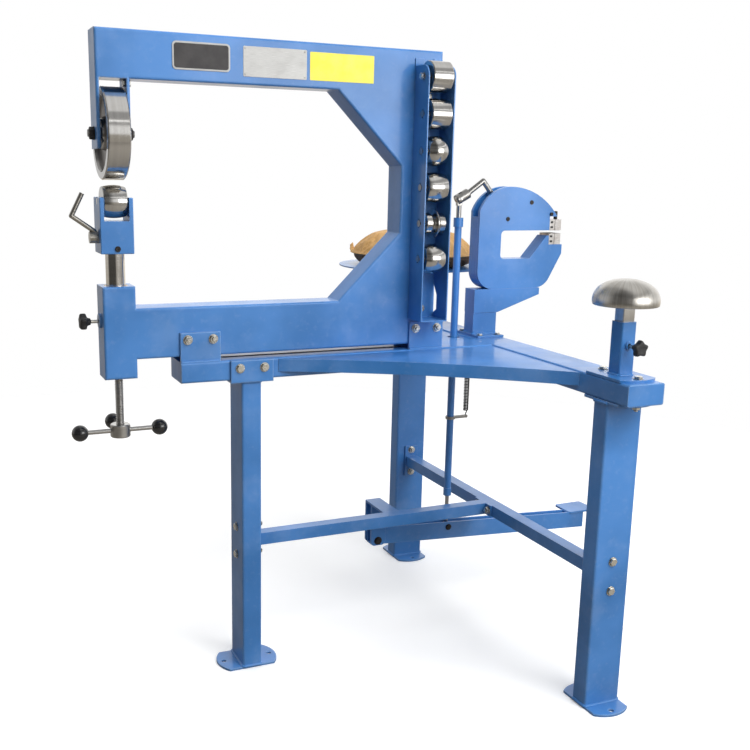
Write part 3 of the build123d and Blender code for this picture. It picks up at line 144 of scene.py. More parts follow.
class SteelSettings(bpy.types.PropertyGroup):
    """Bare, polished and plated steel."""

    bright: colour_setting("Bright Steel", "Colour of polished steel", (0.66, 0.645, 0.62))
    zinc: colour_setting("Zinc", "Colour of the plated bolts", (0.74, 0.71, 0.61))
    line_pitch: length_setting(
        "Turning Pitch", "Distance between the fine lines left by turning", 0.0009, 0.0001, 0.01
    )


class FastenerSettings(bpy.types.PropertyGroup):
    """Hexagon bolts and nuts."""

    washer: length_setting("Washer", "Thickness of the plain washers", 0.0016, 0.0, 0.005)
    pitch: length_setting("Thread Pitch", "Pitch of the bolts' threads", 0.0015, 0.0005, 0.005)


class LeatherSettings(bpy.types.PropertyGroup):
    """The sandbag."""

    tan: colour_setting("Tan", "Colour of the leather", (0.60, 0.34, 0.115))
    voxel: length_setting("Remesh Size", "Size of the cloth's mesh", 0.0055, 0.003, 0.02)
    pressure: FloatProperty(
        name="Filling Pressure",
        description="Pressure of the sand on the leather",
        default=2.8,
        min=0.0,
        max=20.0,
    )
    stitches: IntProperty(
        name="Stitches",
        description="Number of stitches round the lip",
        default=132,
        min=10,
        max=400,
    )


class StageSettings(bpy.types.PropertyGroup):
    """Floor, light and camera."""

    key_power: FloatProperty(
        name="Key Light",
        description="Power of each of the two large lights",
        unit="POWER",
        default=76.0,
        min=0.0,
        max=2000.0,
    )
    dimness: share_setting("Dim End", "How much darker the room is towards the wheels", 0.84)
    sky: FloatProperty(
        name="Surround",
        description="Strength of the pale surround",
        default=1.0,
        min=0.0,
        max=5.0,
    )
    lens: FloatProperty(
        name="Lens",
        description="Focal length of the camera on a 36 mm sensor",
        default=47.366,
        min=10.0,
        max=300.0,
    )


# Node helpers


class Value:
    """A node's output. Arithmetic on it adds Math nodes to its tree."""

    def __init__(self, maker, socket):
        self.maker = maker
        self.socket = socket

    def also(self, name):
        """Another output of the same node."""
        return Value(self.maker, self.socket.node.outputs[name])

    def math(self, operation, *others):
        inputs = dict(enumerate((self, *others)))
        return self.maker.node("ShaderNodeMath", {"operation": operation}, inputs)

    def turned_math(self, operation, first):
        inputs = {0: first, 1: self}
        return self.maker.node("ShaderNodeMath", {"operation": operation}, inputs)

    def __add__(self, other):
        return self.math("ADD", other)

    def __radd__(self, other):
        return self.turned_math("ADD", other)

    def __sub__(self, other):
        return self.math("SUBTRACT", other)

    def __rsub__(self, other):
        return self.turned_math("SUBTRACT", other)

    def __mul__(self, other):
        return self.math("MULTIPLY", other)

    def __rmul__(self, other):
        return self.turned_math("MULTIPLY", other)

    def __truediv__(self, other):
        return self.math("DIVIDE", other)

    def between(self, low, high):
        """0 below low, 1 above high and smooth between them."""
        settings = {"interpolation_type": "SMOOTHSTEP"}
        inputs = {0: self, 1: low, 2: high, 3: 0.0, 4: 1.0}
        return self.maker.node("ShaderNodeMapRange", settings, inputs)

    def band(self, low, high, soft):
        """1 from low to high, and smoothly 0 past a soft end on each side."""
        return self.between(low - soft, low) * (1.0 - self.between(high, high + soft))

    def ramp(self, low, high):
        """0 below low, 1 above high and straight between them."""
        inputs = {0: self, 1: low, 2: high, 3: 0.0, 4: 1.0}
        return self.maker.node("ShaderNodeMapRange", {"clamp": True}, inputs)


class Maker:
    """Adds nodes to a tree. An input is a number, a Value or an expression of Values."""

    def __init__(self, tree):
        self.tree = tree

    def feed(self, socket, value):
        if isinstance(value, Value):
            self.tree.links.new(value.socket, socket)
        else:
            socket.default_value = value

    def node(self, kind, settings=None, inputs=None, output=0):
        node = self.tree.nodes.new(kind)
        for name, value in (settings or {}).items():
            setattr(node, name, value)
        for key, value in (inputs or {}).items():
            self.feed(node.inputs[key], value)
        return Value(self, node.outputs[output])

    def vector(self, x, y, z):
        return self.node("ShaderNodeCombineXYZ", None, {0: x, 1: y, 2: z})

    def split(self, vector):
        parts = self.node("ShaderNodeSeparateXYZ", None, {0: vector})
        return parts, parts.also("Y"), parts.also("Z")

    def vector_math(self, operation, first, second, output=0):
        settings = {"operation": operation}
        return self.node("ShaderNodeVectorMath", settings, {0: first, 1: second}, output)


class Finish(Maker):
    """A procedural material on Blender's main surface shader."""

    def __init__(self, name):
        self.material = bpy.data.materials.new(name)
        self.material.use_nodes = True
        super().__init__(self.material.node_tree)
        self.shader = self.tree.nodes["Principled BSDF"]

    def set(self, **values):
        """Constants and links on the shader; an underscore in a name stands for a space."""
        for name, value in values.items():
            self.feed(self.shader.inputs[name.replace("_", " ")], value)

    def place(self, centre=(0.0, 0.0, 0.0), scale=(1.0, 1.0, 1.0)):
        """Object coordinates measured from a centre, then scaled."""
        at = self.node("ShaderNodeTexCoord").also("Object")
        moved = self.vector_math("SUBTRACT", at, centre)
        return self.vector_math("MULTIPLY", moved, scale)

    def noise(self, at, scale, detail=2.0, rough=0.5):
        inputs = {"Vector": at, "Scale": scale, "Detail": detail, "Roughness": rough}
        return self.node("ShaderNodeTexNoise", None, inputs)

    def cells(self, at, scale, feature="DISTANCE_TO_EDGE"):
        inputs = {"Vector": at, "Scale": scale}
        return self.node("ShaderNodeTexVoronoi", {"feature": feature}, inputs)

    def mix(self, share, first, second):
        """A colour between two others."""
        settings = {"data_type": "RGBA"}
        colours = [c if isinstance(c, Value) else (*c, 1.0) for c in (first, second)]
        inputs = {0: share, 6: colours[0], 7: colours[1]}
        return self.node("ShaderNodeMix", settings, inputs, 2)

    def layers(self, colour, *coats):
        """A colour with others laid over it, each by its own share."""
        for share, over in coats:
            colour = self.mix(share, colour, over)
        return colour

    def eased_edges(self, radius):
        """A normal that rounds sharp edges, and how near an edge is."""
        eased = self.node("ShaderNodeBevel", {"samples": 4}, {"Radius": radius})
        flat = self.node("ShaderNodeNewGeometry").also("Normal")
        same = self.vector_math("DOT_PRODUCT", eased, flat, "Value")
        return eased, (1.0 - same).between(0.01, 0.16)

    def bump(self, height, distance, normal=None):
        """The last step of a finish: its relief. Gives the finished material."""
        inputs = {"Height": height, "Distance": distance, "Strength": 1.0}
        if normal is not None:
            inputs["Normal"] = normal
        self.set(Normal=self.node("ShaderNodeBump", None, inputs))
        return self.material


class Tree(Maker):
    """A Geometry Nodes tree with named inputs."""

    def __init__(self, name, inputs):
        super().__init__(bpy.data.node_groups.new(name, "GeometryNodeTree"))
        sockets = self.tree.interface
        sockets.new_socket("Geometry", in_out="OUTPUT", socket_type="NodeSocketGeometry")
        sockets.new_socket("Geometry", in_out="INPUT", socket_type="NodeSocketGeometry")
        for label, default in inputs.items():
            kind = "NodeSocketInt" if isinstance(default, int) else "NodeSocketFloat"
            socket = sockets.new_socket(label, in_out="INPUT", socket_type=kind)
            socket.default_value = default
        sockets.new_socket("Finish", in_out="INPUT", socket_type="NodeSocketMaterial")
        self.source = self.tree.nodes.new("NodeGroupInput")

    def input(self, label):
        return Value(self, self.source.outputs[label])

    def attribute(self, name, kind):
        settings = {"data_type": kind}
        return self.node("GeometryNodeInputNamedAttribute", settings, {"Name": name})

    def join(self, *parts):
        joined = self.tree.nodes.new("GeometryNodeJoinGeometry")
        for part in parts:
            self.tree.links.new(part.socket, joined.inputs[0])
        return Value(self, joined.outputs[0])

    def transformed(self, geometry, **how):
        return self.node("GeometryNodeTransform", None, {"Geometry": geometry, **how})

    def moved(self, geometry, x, y, z):
        return self.transformed(geometry, Translation=self.vector(x, y, z))

    def placed(self, geometry, **how):
        return self.node("GeometryNodeSetPosition", None, {"Geometry": geometry, **how})

    def on_points(self, points, instance, **how):
        inputs = {"Points": points, "Instance": instance, **how}
        return self.node("GeometryNodeInstanceOnPoints", None, inputs)

    def smooth(self, geometry):
        return self.node("GeometryNodeSetShadeSmooth", None, {0: geometry})

    def cylinder(self, vertices, radius, depth, **more):
        """A cylinder about Z; an underscore in a name stands for a space."""
        sizes = {"Vertices": vertices, "Radius": radius, "Depth": depth}
        sizes.update({name.replace("_", " "): value for name, value in more.items()})
        return self.node("GeometryNodeMeshCylinder", None, sizes)

    def ball(self, segments, rings, x, y, z):
        """An oval ball with three half sizes."""
        sizes = {"Segments": segments, "Rings": rings, "Radius": 1.0}
        round_ball = self.node("GeometryNodeMeshUVSphere", None, sizes)
        return self.transformed(round_ball, Scale=self.vector(x, y, z))

    def wire(self, curve, radius):
        """A round wire along a curve."""
        round_section = {"Resolution": 8, "Radius": radius}
        section = self.node("GeometryNodeCurvePrimitiveCircle", None, round_section)
        inputs = {"Curve": curve, "Profile Curve": section, "Fill Caps": True}
        return self.node("GeometryNodeCurveToMesh", None, inputs)

    def position(self):
        return self.node("GeometryNodeInputPosition")

    def finish(self, geometry):
        """Realizes, gives the finish and closes the tree."""
        real = self.node("GeometryNodeRealizeInstances", None, {0: geometry})
        inputs = {"Geometry": real, "Material": self.input("Finish")}
        done = self.node("GeometryNodeSetMaterial", None, inputs)
        sink = self.tree.nodes.new("NodeGroupOutput")
        self.tree.links.new(done.socket, sink.inputs[0])
        return self.tree


def socket_id(tree, label):
    for item in tree.interface.items_tree:
        if item.name == label and item.in_out == "INPUT":
            return item.identifier
    raise KeyError(label)


def grow(name, tree, values, material, start=None):
    """Runs a tree on a start mesh and keeps the result as a plain mesh object."""
    mesh = start or bpy.data.meshes.new(name + "_start")
    seed = bpy.data.objects.new(name + "_seed", mesh)
    bpy.context.scene.collection.objects.link(seed)
    modifier = seed.modifiers.new("Grow", "NODES")
    modifier.node_group = tree
    for label, value in values.items():
        modifier[socket_id(tree, label)] = value
    modifier[socket_id(tree, "Finish")] = material
    grown = seed.evaluated_get(bpy.context.evaluated_depsgraph_get())
    made = bpy.data.meshes.new_from_object(grown)
    made.name = name
    seed.modifiers.clear()
    bpy.data.objects.remove(seed)
    if not made.materials:
        made.materials.append(material)
    if not made.polygons:
        raise RuntimeError(f"{name} came out empty")
    return add_object(name, made)


def add_object(name, mesh):
    piece = bpy.data.objects.new(name, mesh)
    bpy.context.scene.collection.objects.link(piece)
    return piece


def seat(piece, body, slot, *replaced):
    """Puts a finished piece on its body and hides what it stands for; the slot is not used."""
    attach(piece, body)
    if replaced:
        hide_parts(*replaced)
    return piece


def from_bmesh(name, bm, material, smooth=True):
    bmesh.ops.remove_doubles(bm, verts=bm.verts, dist=1e-6)
    bmesh.ops.recalc_face_normals(bm, faces=bm.faces)
    mesh = bpy.data.meshes.new(name)
    bm.to_mesh(mesh)
    bm.free()
    mesh.materials.append(material)
    if smooth:
        mesh.shade_smooth()
    return add_object(name, mesh)


def frame_along(origin, direction):
    """A matrix whose Z runs along a direction from an origin."""
    turn = Vector(direction).to_track_quat("Z", "Y").to_matrix().to_4x4()
    return Matrix.Translation(Vector(origin)) @ turn


def circle(radius, height, steps=96, centre=(0.0, 0.0)):
    """A ring of points at a height."""
    turns = [2 * math.pi * step / steps for step in range(steps)]
    return [
        (centre[0] + radius * math.cos(turn), centre[1] + radius * math.sin(turn), height)
        for turn in turns
    ]


def rounded_ring(flat_x, flat_y, radius, height, parts, centre=(0.0, 0.0)):
    """A ring round a rectangle whose corners are arcs about (flat_x, flat_y)."""
    ring = []
    for quarter, (side_x, side_y) in enumerate(((1, 1), (-1, 1), (-1, -1), (1, -1))):
        for part in range(parts + 1):
            turn = math.pi / 2 * (quarter + part / parts)
            x = side_x * flat_x + radius * math.cos(turn)
            y = side_y * flat_y + radius * math.sin(turn)
            ring.append((centre[0] + x, centre[1] + y, height))
    return ring


def skin(name, rings, material, place=Matrix.Identity(4), smooth=True):
    """A closed skin over rings of points, one after another, with a fan at each end."""
    bm = bmesh.new()
    loops = [[bm.verts.new(place @ Vector(point)) for point in ring] for ring in rings]
    for first, second in zip(loops[:-1], loops[1:]):
        count = len(first)
        for i in range(count):
            j = (i + 1) % count
            bm.faces.new((first[i], first[j], second[j], second[i]))
    for loop in (loops[0], loops[-1]):
        tip = bm.verts.new(sum((v.co for v in loop), Vector()) / len(loop))
        for i, vertex in enumerate(loop):
            bm.faces.new((vertex, loop[(i + 1) % len(loop)], tip))
    return from_bmesh(name, bm, material, smooth)


# Finishes

made_finishes = {}


def shared(make, name=None, *inputs):
    """A finish that is made once, under its own name or its function's."""
    name = name or make.__name__
    if name not in made_finishes:
        made_finishes[name] = make(name, *inputs)
    return made_finishes[name]


def blue_enamel(name, edge_radius=None):
    """Sprayed enamel: soft clouds of tone that are partly a painted soft highlight, a painted sheen, orange peel,
    dust and paler edges that are partly rubbed and partly a painted highlight.
    """
    settings = bpy.context.scene.wheel_paint
    finish = Finish(name)
    at = finish.place()
    eased, edge = finish.eased_edges(edge_radius or settings.edge)
    # Pale clouds: partly uneven spray tone, partly a painted soft highlight
    cloud = finish.noise(at, 5.0, 3.0).between(0.3, 0.7)
    dust = finish.noise(at, 60.0, 5.0, 0.65).between(0.52, 0.78)
    chips = finish.noise(at, 210.0, 3.0).between(0.60, 0.66)
    # Painted sheen: pale blue-grey patches that stand in for a soft reflection on the enamel
    painted_sheen = finish.noise(at, 7.0, 4.0, 0.6).between(0.50, 0.72)
    deep = tuple(0.86 * c for c in settings.blue)
    pale = tuple(min(1.0, 1.12 * c + 0.02) for c in settings.blue)
    tone = finish.layers(
        deep,
        (cloud, pale),
        # Painted sheen laid over the blue
        (painted_sheen * 0.10, (0.45, 0.58, 0.78)),
        (dust * 0.07, (0.55, 0.62, 0.70)),
        # Paler edges: partly thin, rubbed paint and partly a painted highlight
        (edge * 0.5, (0.36, 0.56, 0.86)),
        (edge * chips * 0.7, (0.36, 0.37, 0.38)),
    )
    smear = finish.noise(at, 14.0, 4.0).between(0.35, 0.75)
    peel = finish.noise(at, 420.0, 2.0) + finish.noise(at, 120.0, 1.0)
    finish.set(Base_Color=tone, Specular_IOR_Level=0.5, Coat_Roughness=0.12)
    finish.set(Roughness=settings.roughness + smear * 0.12 + dust * 0.06)
    finish.set(Coat_Weight=0.42 - dust * 0.12)
    return finish.bump(peel, settings.peel, eased)


def turned_coordinates(finish, axis, centre):
    """Distance along an axis and distance from it."""
    x, y, z = finish.split(finish.place(centre))
    along, side, up = {"X": (x, y, z), "Y": (y, x, z), "Z": (z, x, y)}[axis]
    return along, (side * side + up * up).math("SQRT")


def turned_steel(name, axis, centre, rough=0.13, tone=1.0, web=None):
    """Turned and polished steel: fine rings, a few scratches, faint stains and oil.

    A web is a lower and an upper radius between which the steel is left dull and is darkened with painted shade,
    as a recess in shadow."""
    settings = bpy.context.scene.wheel_steel
    finish = Finish(name)
    along, radius = turned_coordinates(finish, axis, centre)
    fine = 1.0 / settings.line_pitch
    wide = 0.12 * fine
    rings = finish.noise(finish.vector(along * fine, radius * fine, 0.0), 1.0, 2.0)
    bands = finish.noise(finish.vector(along * wide, radius * wide, 3.0), 1.0, 2.0)
    stain = finish.noise(finish.place(), 26.0, 5.0, 0.6).between(0.5, 0.8)
    rub = finish.noise(finish.place(centre, (40.0, 40.0, 700.0)), 1.0, 3.0).between(0.62, 0.7)
    eased, edge = finish.eased_edges(0.0012)
    bright = tuple(tone * c for c in settings.bright)
    dim = tuple(0.90 * c for c in bright)
    colour = finish.layers(
        dim,
        (bands.between(0.3, 0.7), bright),
        (stain * 0.16, (0.36, 0.30, 0.22)),
        (edge * 0.3, (0.82, 0.81, 0.79)),
    )
    roughness = rough + rings * 0.05 + bands * 0.02 + stain * 0.10 + rub * 0.05
    if web:
        low, high = web
        inside = radius.between(low - 0.001, low + 0.001)
        inside = inside * (1.0 - radius.between(high - 0.002, high))
        # Painted shade on the recessed web; the extra roughness below is its duller finish
        colour = finish.mix(inside * 0.75, colour, (0.17, 0.15, 0.14))
        roughness = roughness + inside * 0.22
    finish.set(Base_Color=colour, Metallic=1.0, Roughness=roughness)
    return finish.bump(rings + rub * 0.3, 0.000008, eased)


def drawn_steel(name, axis="X", rough=0.28, tone=0.82, tint=(1.0, 1.0, 1.0)):
    """Drawn or ground bar: long fine scratches, mill marks and a little rust film."""
    settings = bpy.context.scene.wheel_steel
    finish = Finish(name)
    stretch = [30.0 if letter == axis else 900.0 for letter in "XYZ"]
    streaks = finish.noise(finish.place((0, 0, 0), stretch), 1.0, 3.0)
    at = finish.place()
    film = finish.noise(at, 38.0, 5.0, 0.62).between(0.50, 0.76)
    pits = finish.noise(at, 320.0, 2.0).between(0.64, 0.72)
    eased, edge = finish.eased_edges(0.0009)
    bright = tuple(tone * c * t for c, t in zip(settings.bright, tint))
    dim = tuple(0.72 * c for c in bright)
    colour = finish.layers(
        dim,
        (streaks.between(0.3, 0.7), bright),
        (film * 0.22, (0.30, 0.23, 0.16)),
        (edge * 0.4, (0.80, 0.79, 0.77)),
    )
    finish.set(Base_Color=colour, Metallic=1.0)
    finish.set(Roughness=rough + streaks * 0.12 + film * 0.12 + pits * 0.1)
    return finish.bump(streaks - pits * 0.6, 0.00004, eased)


def dome_steel(name):
    """The domed head, polished by hand down its sides, over a drawn square bar."""
    finish = Finish(name)
    x, y, z = finish.split(finish.place((cross_x, -leg_y, dome_low)))
    angle = y.math("ARCTAN2", x)
    strokes = finish.noise(finish.vector(angle * 26.0, z * 9.0, 0.0), 1.0, 3.0)
    fine = finish.noise(finish.vector(angle * 240.0, z * 60.0, 1.0), 1.0, 2.0)
    stain = finish.noise(finish.place(), 30.0, 5.0, 0.6).between(0.48, 0.8)
    eased, edge = finish.eased_edges(0.0012)
    bar = 1.0 - z.between(-0.001, 0.0)
    colour = finish.layers(
        (0.50, 0.475, 0.43),
        (strokes.between(0.3, 0.7), (0.66, 0.64, 0.60)),
        (stain * 0.18, (0.34, 0.28, 0.20)),
        (bar * 0.35, (0.62, 0.60, 0.58)),
        (edge * 0.3, tuple(bpy.context.scene.wheel_steel.bright)),
    )
    finish.set(Base_Color=colour, Metallic=1.0)
    finish.set(Roughness=0.24 + strokes * 0.10 + fine * 0.05 + stain * 0.1)
    return finish.bump(strokes * 0.5 + fine, 0.00003, eased)


def zinc_plate(name):
    """Yellowish zinc: milky patches, bright corners, worn flats and painted shade in the crevices."""
    finish = Finish(name)
    at = finish.place()
    patches = finish.noise(at, 260.0, 4.0, 0.6)
    tarnish = finish.noise(at, 90.0, 4.0).between(0.5, 0.75)
    eased, edge = finish.eased_edges(0.0006)
    # Painted shade: ambient occlusion darkens the zinc in its crevices
    crevice_shade = {"samples": 8, "only_local": False}
    open_sky = finish.node("ShaderNodeAmbientOcclusion", crevice_shade, {"Distance": 0.003}, 1)
    colour = finish.layers(
        tuple(bpy.context.scene.wheel_steel.zinc),
        (patches.between(0.3, 0.7), (0.78, 0.77, 0.73)),
        (tarnish * 0.35, (0.36, 0.28, 0.15)),
        (edge * 0.5, (0.84, 0.84, 0.82)),
        # Painted shade in the crevices, near black where little light reaches
        ((1.0 - open_sky.between(0.42, 0.92)) * 0.9, (0.05, 0.045, 0.04)),
    )
    roughness = 0.20 + patches * 0.14 + tarnish * 0.14
    finish.set(Base_Color=colour, Metallic=1.0, Roughness=roughness)
    return finish.bump(patches, 0.00004, eased)


def black_oxide(name):
    """Blackened steel: near black, oily, and paler brown at the edges, partly where the black has rubbed off and
    partly a painted highlight.
    """
    finish = Finish(name)
    at = finish.place()
    oil = finish.noise(at, 60.0, 4.0, 0.6)
    grain = finish.noise(at, 900.0, 2.0)
    eased, edge = finish.eased_edges(0.0006)
    colour = finish.layers(
        (0.020, 0.019, 0.019),
        (oil.between(0.35, 0.7), (0.045, 0.040, 0.036)),
        # Paler edges: partly rubbed-off black, partly a painted highlight
        (edge * 0.6, (0.22, 0.20, 0.18)),
    )
    finish.set(Base_Color=colour, Metallic=0.6, Roughness=0.32 + oil * 0.18 + grain * 0.05)
    return finish.bump(grain, 0.00004, eased)


def knob_plastic(name):
    """Moulded black plastic: fine spark-eroded texture and paler rubbed lobes."""
    finish = Finish(name)
    at = finish.place()
    texture = finish.cells(at, 1500.0, "F1")
    rubbed = finish.noise(at, 90.0, 3.0).between(0.45, 0.75)
    eased, edge = finish.eased_edges(0.001)
    colour = finish.layers(
        (0.017, 0.017, 0.018),
        (rubbed * 0.4, (0.050, 0.047, 0.045)),
        (edge * 0.3, (0.09, 0.088, 0.086)),
    )
    finish.set(Base_Color=colour, Roughness=0.42 + rubbed * 0.12 + texture * 0.08)
    return finish.bump(texture, 0.00008, eased)


def ball_plastic(name):
    """Glossy black ball grips with faint swirls and finger marks."""
    finish = Finish(name)
    at = finish.place()
    swirl = finish.noise(at, 700.0, 3.0)
    marks = finish.noise(at, 70.0, 4.0, 0.65).between(0.45, 0.8)
    colour = finish.mix(marks * 0.25, (0.010, 0.010, 0.011), (0.035, 0.034, 0.034))
    finish.set(Base_Color=colour, Roughness=0.10 + marks * 0.16 + swirl * 0.03)
    finish.set(Coat_Weight=0.8 - marks * 0.4, Coat_Roughness=0.06)
    return finish.bump(swirl, 0.00001)


def turned_bronze(name):
    """Bearing bronze with turning rings and a film of oil."""
    finish = Finish(name)
    along, radius = turned_coordinates(finish, "Z", tuple(shaft_axis))
    rings = finish.noise(finish.vector(along * 1200.0, radius * 1200.0, 0.0), 1.0, 2.0)
    oil = finish.noise(finish.place(), 60.0, 4.0).between(0.4, 0.7)
    eased, edge = finish.eased_edges(0.0008)
    colour = finish.layers(
        (0.46, 0.30, 0.12),
        (rings.between(0.3, 0.7), (0.66, 0.48, 0.24)),
        (oil * 0.3, (0.20, 0.13, 0.06)),
        (edge * 0.3, (0.78, 0.62, 0.38)),
    )
    finish.set(Base_Color=colour, Metallic=1.0, Roughness=0.26 + rings * 0.1 + oil * 0.08)
    return finish.bump(rings, 0.00003, eased)


def jaw_steel(name):
    """Hardened jaw blocks: ground across, heat-stained and oily in the corners."""
    finish = Finish(name)
    across = finish.noise(finish.place((0, 0, 0), (120.0, 120.0, 2400.0)), 1.0, 2.0)
    heat = finish.noise(finish.place(), 48.0, 4.0, 0.6).between(0.42, 0.72)
    eased, edge = finish.eased_edges(0.0007)
    colour = finish.layers(
        (0.40, 0.38, 0.37),
        (across.between(0.3, 0.7), (0.64, 0.62, 0.60)),
        (heat * 0.35, (0.26, 0.20, 0.16)),
        (edge * 0.5, (0.84, 0.83, 0.81)),
    )
    finish.set(Base_Color=colour, Metallic=1.0, Roughness=0.27 + across * 0.14 + heat * 0.12)
    return finish.bump(across, 0.00005, eased)


def tan_leather(name):
    """Tanned leather: pebbled grain, creases with painted shade in them, darker handling, and a lower half that
    is partly darker leather and partly painted shade.
    """
    finish = Finish(name)
    x, y, z = finish.split(finish.place((bag_middle.x, bag_middle.y, bag_box[0].z)))
    radius = (x * x + y * y).math("SQRT")
    angle = y.math("ARCTAN2", x)
    at = finish.place()
    pebble = finish.cells(at, 420.0).between(0.0, 0.16)
    grain = finish.noise(at, 900.0, 3.0, 0.6)
    cloud = finish.noise(at, 11.0, 5.0, 0.62)
    pull = finish.noise(finish.vector(angle * 22.0, radius * 16.0, z * 16.0), 1.0, 3.0)
    rim = radius.between(0.10, 0.19)
    creases = pull.between(0.54, 0.70) * rim
    handled = finish.noise(at, 5.0, 3.0).between(0.5, 0.75) * (1.0 - rim)
    # Below the lip: partly darker leather, partly painted shade under the bulge
    under_lip = 1.0 - z.between(bag_lip_rise - 0.008, bag_lip_rise)
    tan = tuple(bpy.context.scene.wheel_leather.tan)
    pale = tuple(min(1.0, 1.22 * c + 0.03) for c in tan)
    dark = tuple(0.55 * c for c in tan)
    colour = finish.layers(
        tan,
        (cloud.between(0.32, 0.70), pale),
        # Painted shade in the creases
        (creases * 0.45, dark),
        ((1.0 - pebble) * 0.22, dark),
        (handled * 0.25, (0.40, 0.21, 0.075)),
        # Lower half: darker leather with painted shade
        (under_lip * 0.88, (0.075, 0.036, 0.018)),
    )
    finish.set(Base_Color=colour, Specular_IOR_Level=0.42)
    finish.set(Roughness=0.50 + grain * 0.10 + cloud * 0.10 - handled * 0.12)
    return finish.bump(pebble * 0.8 + grain * 0.5 - creases * 1.6, 0.00045)


def waxed_thread(name):
    """Twisted, waxed thread."""
    finish = Finish(name)
    twist = finish.noise(finish.place(), 2600.0, 2.0)
    colour = finish.mix(twist.between(0.3, 0.7), (0.42, 0.30, 0.16), (0.70, 0.56, 0.36))
    finish.set(Base_Color=colour, Roughness=0.6 + twist * 0.2)
    return finish.bump(twist, 0.0001)


def plate_metal(name):
    """Brushed aluminium plate with a clear skin."""
    finish = Finish(name)
    brushed = finish.noise(finish.place((0, 0, 0), (60.0, 200.0, 2600.0)), 1.0, 2.0)
    smudge = finish.noise(finish.place(), 40.0, 3.0).between(0.4, 0.75)
    colour = finish.mix(brushed.between(0.3, 0.7), (0.42, 0.42, 0.41), (0.55, 0.55, 0.54))
    finish.set(Base_Color=colour, Metallic=0.4, Roughness=0.40 + brushed * 0.1 + smudge * 0.1)
    return finish.bump(brushed, 0.00002)


def enamel_field(name, colour, worn):
    """Flat printed enamel on a plate, a little faded and rubbed."""
    finish = Finish(name)
    fade = finish.noise(finish.place(), 22.0, 4.0, 0.6)
    rub = finish.noise(finish.place((0, 0, 0), (500.0, 500.0, 90.0)), 1.0, 3.0)
    rub = rub.between(0.62, 0.75)
    tone = finish.layers(colour, (fade.between(0.35, 0.7) * 0.5, worn), (rub * 0.25, worn))
    finish.set(Base_Color=tone, Roughness=0.36 + fade * 0.12 + rub * 0.1)
    return finish.bump(fade + rub, 0.00002)


def pale_floor(name):
    """Pale painted floor, glowing to the camera and beige to whatever mirrors it."""
    finish = Finish(name)
    at = finish.place()
    mottle = finish.noise(at, 3.0, 4.0)
    colour = finish.mix(mottle.between(0.3, 0.7), (0.90, 0.90, 0.90), (0.93, 0.93, 0.93))
    x, y, _ = finish.split(at)
    far = (x * x + y * y).math("SQRT").between(0.6, 2.6)
    seen = finish.node("ShaderNodeLightPath")
    glow = finish.mix(far, (0.20, 0.20, 0.20), (0.34, 0.34, 0.34))
    glow = finish.mix(seen, (0.0, 0.0, 0.0), glow)
    colour = finish.mix(seen, (0.28, 0.26, 0.23), colour)
    finish.set(Base_Color=colour, Roughness=0.75 + mottle * 0.1)
    finish.set(Emission_Color=glow, Emission_Strength=1.0)
    return finish.bump(finish.noise(at, 180.0, 3.0), 0.0001)


# Geometry trees


def hex_body(tree, flats, height, lift):
    """A hexagonal prism with its top edge turned down, standing at a lift."""
    prism = tree.cylinder(6, flats / math.sqrt(3.0), height * 0.86)
    cap = {"Mesh": prism, "Selection": prism.also("Top"), "Individual": False}
    cap["Offset Scale"] = height * 0.14
    raised = tree.node("GeometryNodeExtrudeMesh", None, cap)
    narrow = {"Geometry": raised, "Selection": raised.also("Top"), "Scale": 0.88}
    shaped = tree.node("GeometryNodeScaleElements", None, narrow)
    return tree.moved(shaped, 0.0, 0.0, lift + height * 0.43)


def washer_body(tree, radius, thickness):
    disc = tree.cylinder(24, radius * 2.3, thickness)
    return tree.moved(disc, 0.0, 0.0, thickness * 0.5)


def threaded_body(tree, radius, pitch, depth, length, around=16, per_turn=5):
    """A bar whose side rises and falls along a helix, standing on Z = 0."""
    segments = length / pitch * float(per_turn)
    bar = tree.cylinder(around, radius, length, Side_Segments=segments, Fill_Segments=2)
    x, y, z = tree.split(tree.position())
    angle = y.math("ARCTAN2", x) / (2.0 * math.pi)
    wave = (z / pitch - angle).math("FRACT")
    dip = (wave - 0.5).math("ABSOLUTE") * 2.0
    shrink = 1.0 - dip * (depth / radius)
    shaped = tree.placed(bar, Position=tree.vector(x * shrink, y * shrink, z))
    return tree.moved(shaped, 0.0, 0.0, length * 0.5)


def aligned(tree, direction):
    settings = {"axis": "Z"}
    return tree.node("FunctionNodeAlignRotationToVector", settings, {"Vector": direction})


def fastener_tree():
    """A head at each point, and past its grip a nut and the bolt's threaded tip."""
    tree = Tree("fasteners", {
        "Bolt Radius": m10,
        "Across Flats": 17 * mm,
        "Head Height": 6.5 * mm,
        "Nut Height": 8 * mm,
        "Tip Length": 12 * mm,
        "Washer Thickness": 1.6 * mm,
        "Thread Pitch": 1.5 * mm,
    })
    radius = tree.input("Bolt Radius")
    flats = tree.input("Across Flats")
    washer = tree.input("Washer Thickness")
    pitch = tree.input("Thread Pitch")
    seats = tree.input("Geometry")
    direction = tree.attribute("direction", "FLOAT_VECTOR")
    has_nut = tree.attribute("has_nut", "FLOAT").math("GREATER_THAN", 0.5)
    outward = tree.vector_math("MULTIPLY", direction, (-1.0, -1.0, -1.0))
    head = tree.join(
        washer_body(tree, radius, washer),
        hex_body(tree, flats, tree.input("Head Height") - washer, washer),
    )
    heads = tree.on_points(seats, head, Rotation=aligned(tree, outward))
    nut = tree.join(
        washer_body(tree, radius, washer),
        hex_body(tree, flats, tree.input("Nut Height") - washer, washer),
        threaded_body(tree, radius, pitch, pitch * 0.5, tree.input("Tip Length")),
    )
    reach = {"Vector": direction, "Scale": tree.attribute("grip", "FLOAT")}
    grip = tree.node("ShaderNodeVectorMath", {"operation": "SCALE"}, reach)
    far = tree.placed(seats, Offset=grip)
    nuts = tree.on_points(far, nut, Selection=has_nut, Rotation=aligned(tree, direction))
    return tree.finish(tree.join(heads, nuts))


